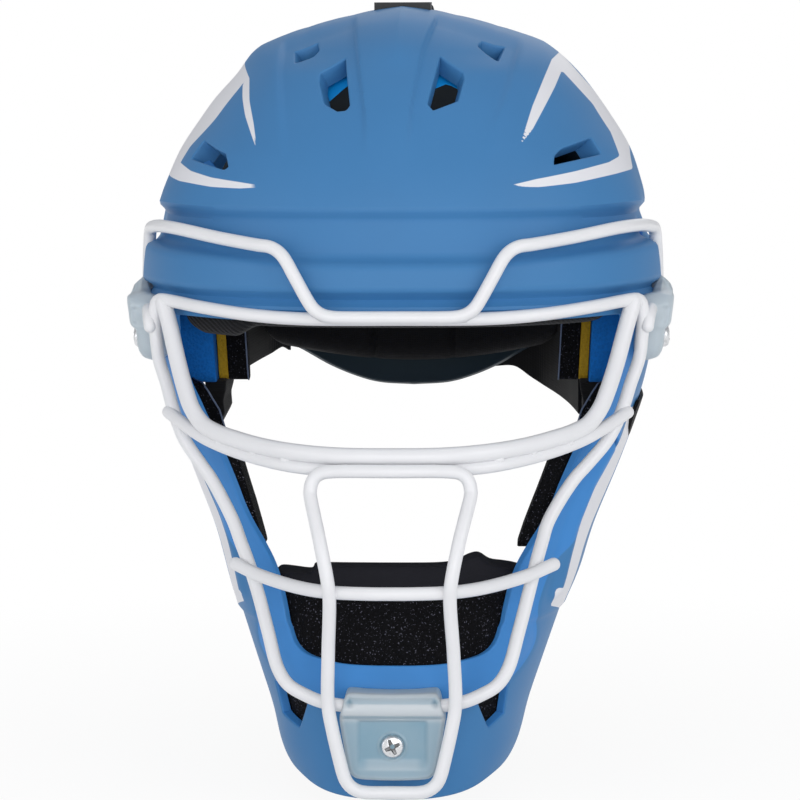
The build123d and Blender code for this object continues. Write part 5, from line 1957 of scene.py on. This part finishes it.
class HELMET_OT_stage(bpy.types.Operator):
    """Sets the camera, the lamps and the floor."""
    bl_idname = "helmet.stage"
    bl_label = "Stage"

    def execute(self, context):
        scene = context.scene
        lens = bpy.data.cameras.new("view")
        lens.sensor_width = SENSOR
        lens.lens = CAMERA_FOCUS / PHOTO_SIZE * SENSOR
        lens.shift_x = -(PHOTO_AXIS[0] - PHOTO_SIZE / 2) / PHOTO_SIZE
        lens.clip_start, lens.clip_end = 0.1, 30.0
        camera = bpy.data.objects.new("view", lens)
        turn = Matrix((CAMERA_RIGHT, CAMERA_UP, -CAMERA_AHEAD)).transposed()
        camera.matrix_world = Matrix.Translation(CAMERA_PLACE * MM) @ turn.to_4x4()
        scene.collection.objects.link(camera)
        scene.camera = camera
        level = min(cad_bounds[0].z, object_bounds()[0].z) - FLOOR_GAP
        mesh = bpy.data.meshes.new("floor")
        corners = [(a * FLOOR_REACH, b * FLOOR_REACH, level) for a, b in ((-1, -1), (1, -1), (1, 1), (-1, 1))]
        mesh.from_pydata(corners, [], [(0, 1, 2, 3)])
        show(mesh, pale_floor())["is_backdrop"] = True
        for name, place, size, power in LAMPS:
            light = bpy.data.lights.new(name, "AREA")
            light.shape, light.size, light.energy = "DISK", size, power
            lamp = bpy.data.objects.new(name, light)
            lamp.location = place
            lamp.rotation_mode = "QUATERNION"
            lamp.rotation_quaternion = (LAMPS_AIM - Vector(place)).to_track_quat("-Z", "Y")
            scene.collection.objects.link(lamp)
        scene.world = bpy.data.worlds.new("studio")
        sky = Nodes(scene.world)
        seen = sky.add("ShaderNodeLightPath")
        air = sky.add("ShaderNodeBackground", None, {0: (0.95, 0.97, 1.0, 1.0), 1: 0.5})
        white = sky.add("ShaderNodeBackground", None, {0: (1, 1, 1, 1), 1: 1.0})
        mixed = sky.add("ShaderNodeMixShader", None, {0: seen, 1: air, 2: white})
        sky.finish_at("ShaderNodeOutputWorld", mixed)
        scene.view_settings.view_transform = "Standard"
        return {"FINISHED"}


STEPS = (
    "shell", "vent_arches", "rear_plate", "cage", "clips", "fasteners", "crown_pads", "brow_pad", "chin_pad",
    "side_pads", "jaw_pads", "rear_pad", "harness", "stage",
)


class HELMET_PT_panel(bpy.types.Panel):
    """Lists the helmet's sizes, colours and pieces."""
    bl_idname = "HELMET_PT_panel"
    bl_label = "Catcher helmet"
    bl_space_type = "VIEW_3D"
    bl_region_type = "UI"
    bl_category = "Helmet"

    def draw(self, context):
        for group in (context.scene.helmet_sizes, context.scene.helmet_colours):
            box = self.layout.box()
            for name in group.__annotations__:
                box.prop(group, name)
        for step in STEPS:
            self.layout.operator("helmet." + step)


CLASSES = (
    HelmetSizes, HelmetColours, HELMET_OT_shell, HELMET_OT_vent_arches, HELMET_OT_rear_plate, HELMET_OT_cage,
    HELMET_OT_clips, HELMET_OT_fasteners, HELMET_OT_crown_pads, HELMET_OT_brow_pad, HELMET_OT_chin_pad,
    HELMET_OT_side_pads, HELMET_OT_jaw_pads, HELMET_OT_rear_pad, HELMET_OT_harness, HELMET_OT_stage, HELMET_PT_panel,
)


def register():
    for item in CLASSES:
        bpy.utils.register_class(item)
    bpy.types.Scene.helmet_sizes = PointerProperty(type=HelmetSizes)
    bpy.types.Scene.helmet_colours = PointerProperty(type=HelmetColours)


def unregister():
    del bpy.types.Scene.helmet_colours
    del bpy.types.Scene.helmet_sizes
    for item in reversed(CLASSES):
        bpy.utils.unregister_class(item)


def main():
    register()
    for step in STEPS:
        getattr(bpy.ops.helmet, step)()


if __name__ == "__main__":
    main()
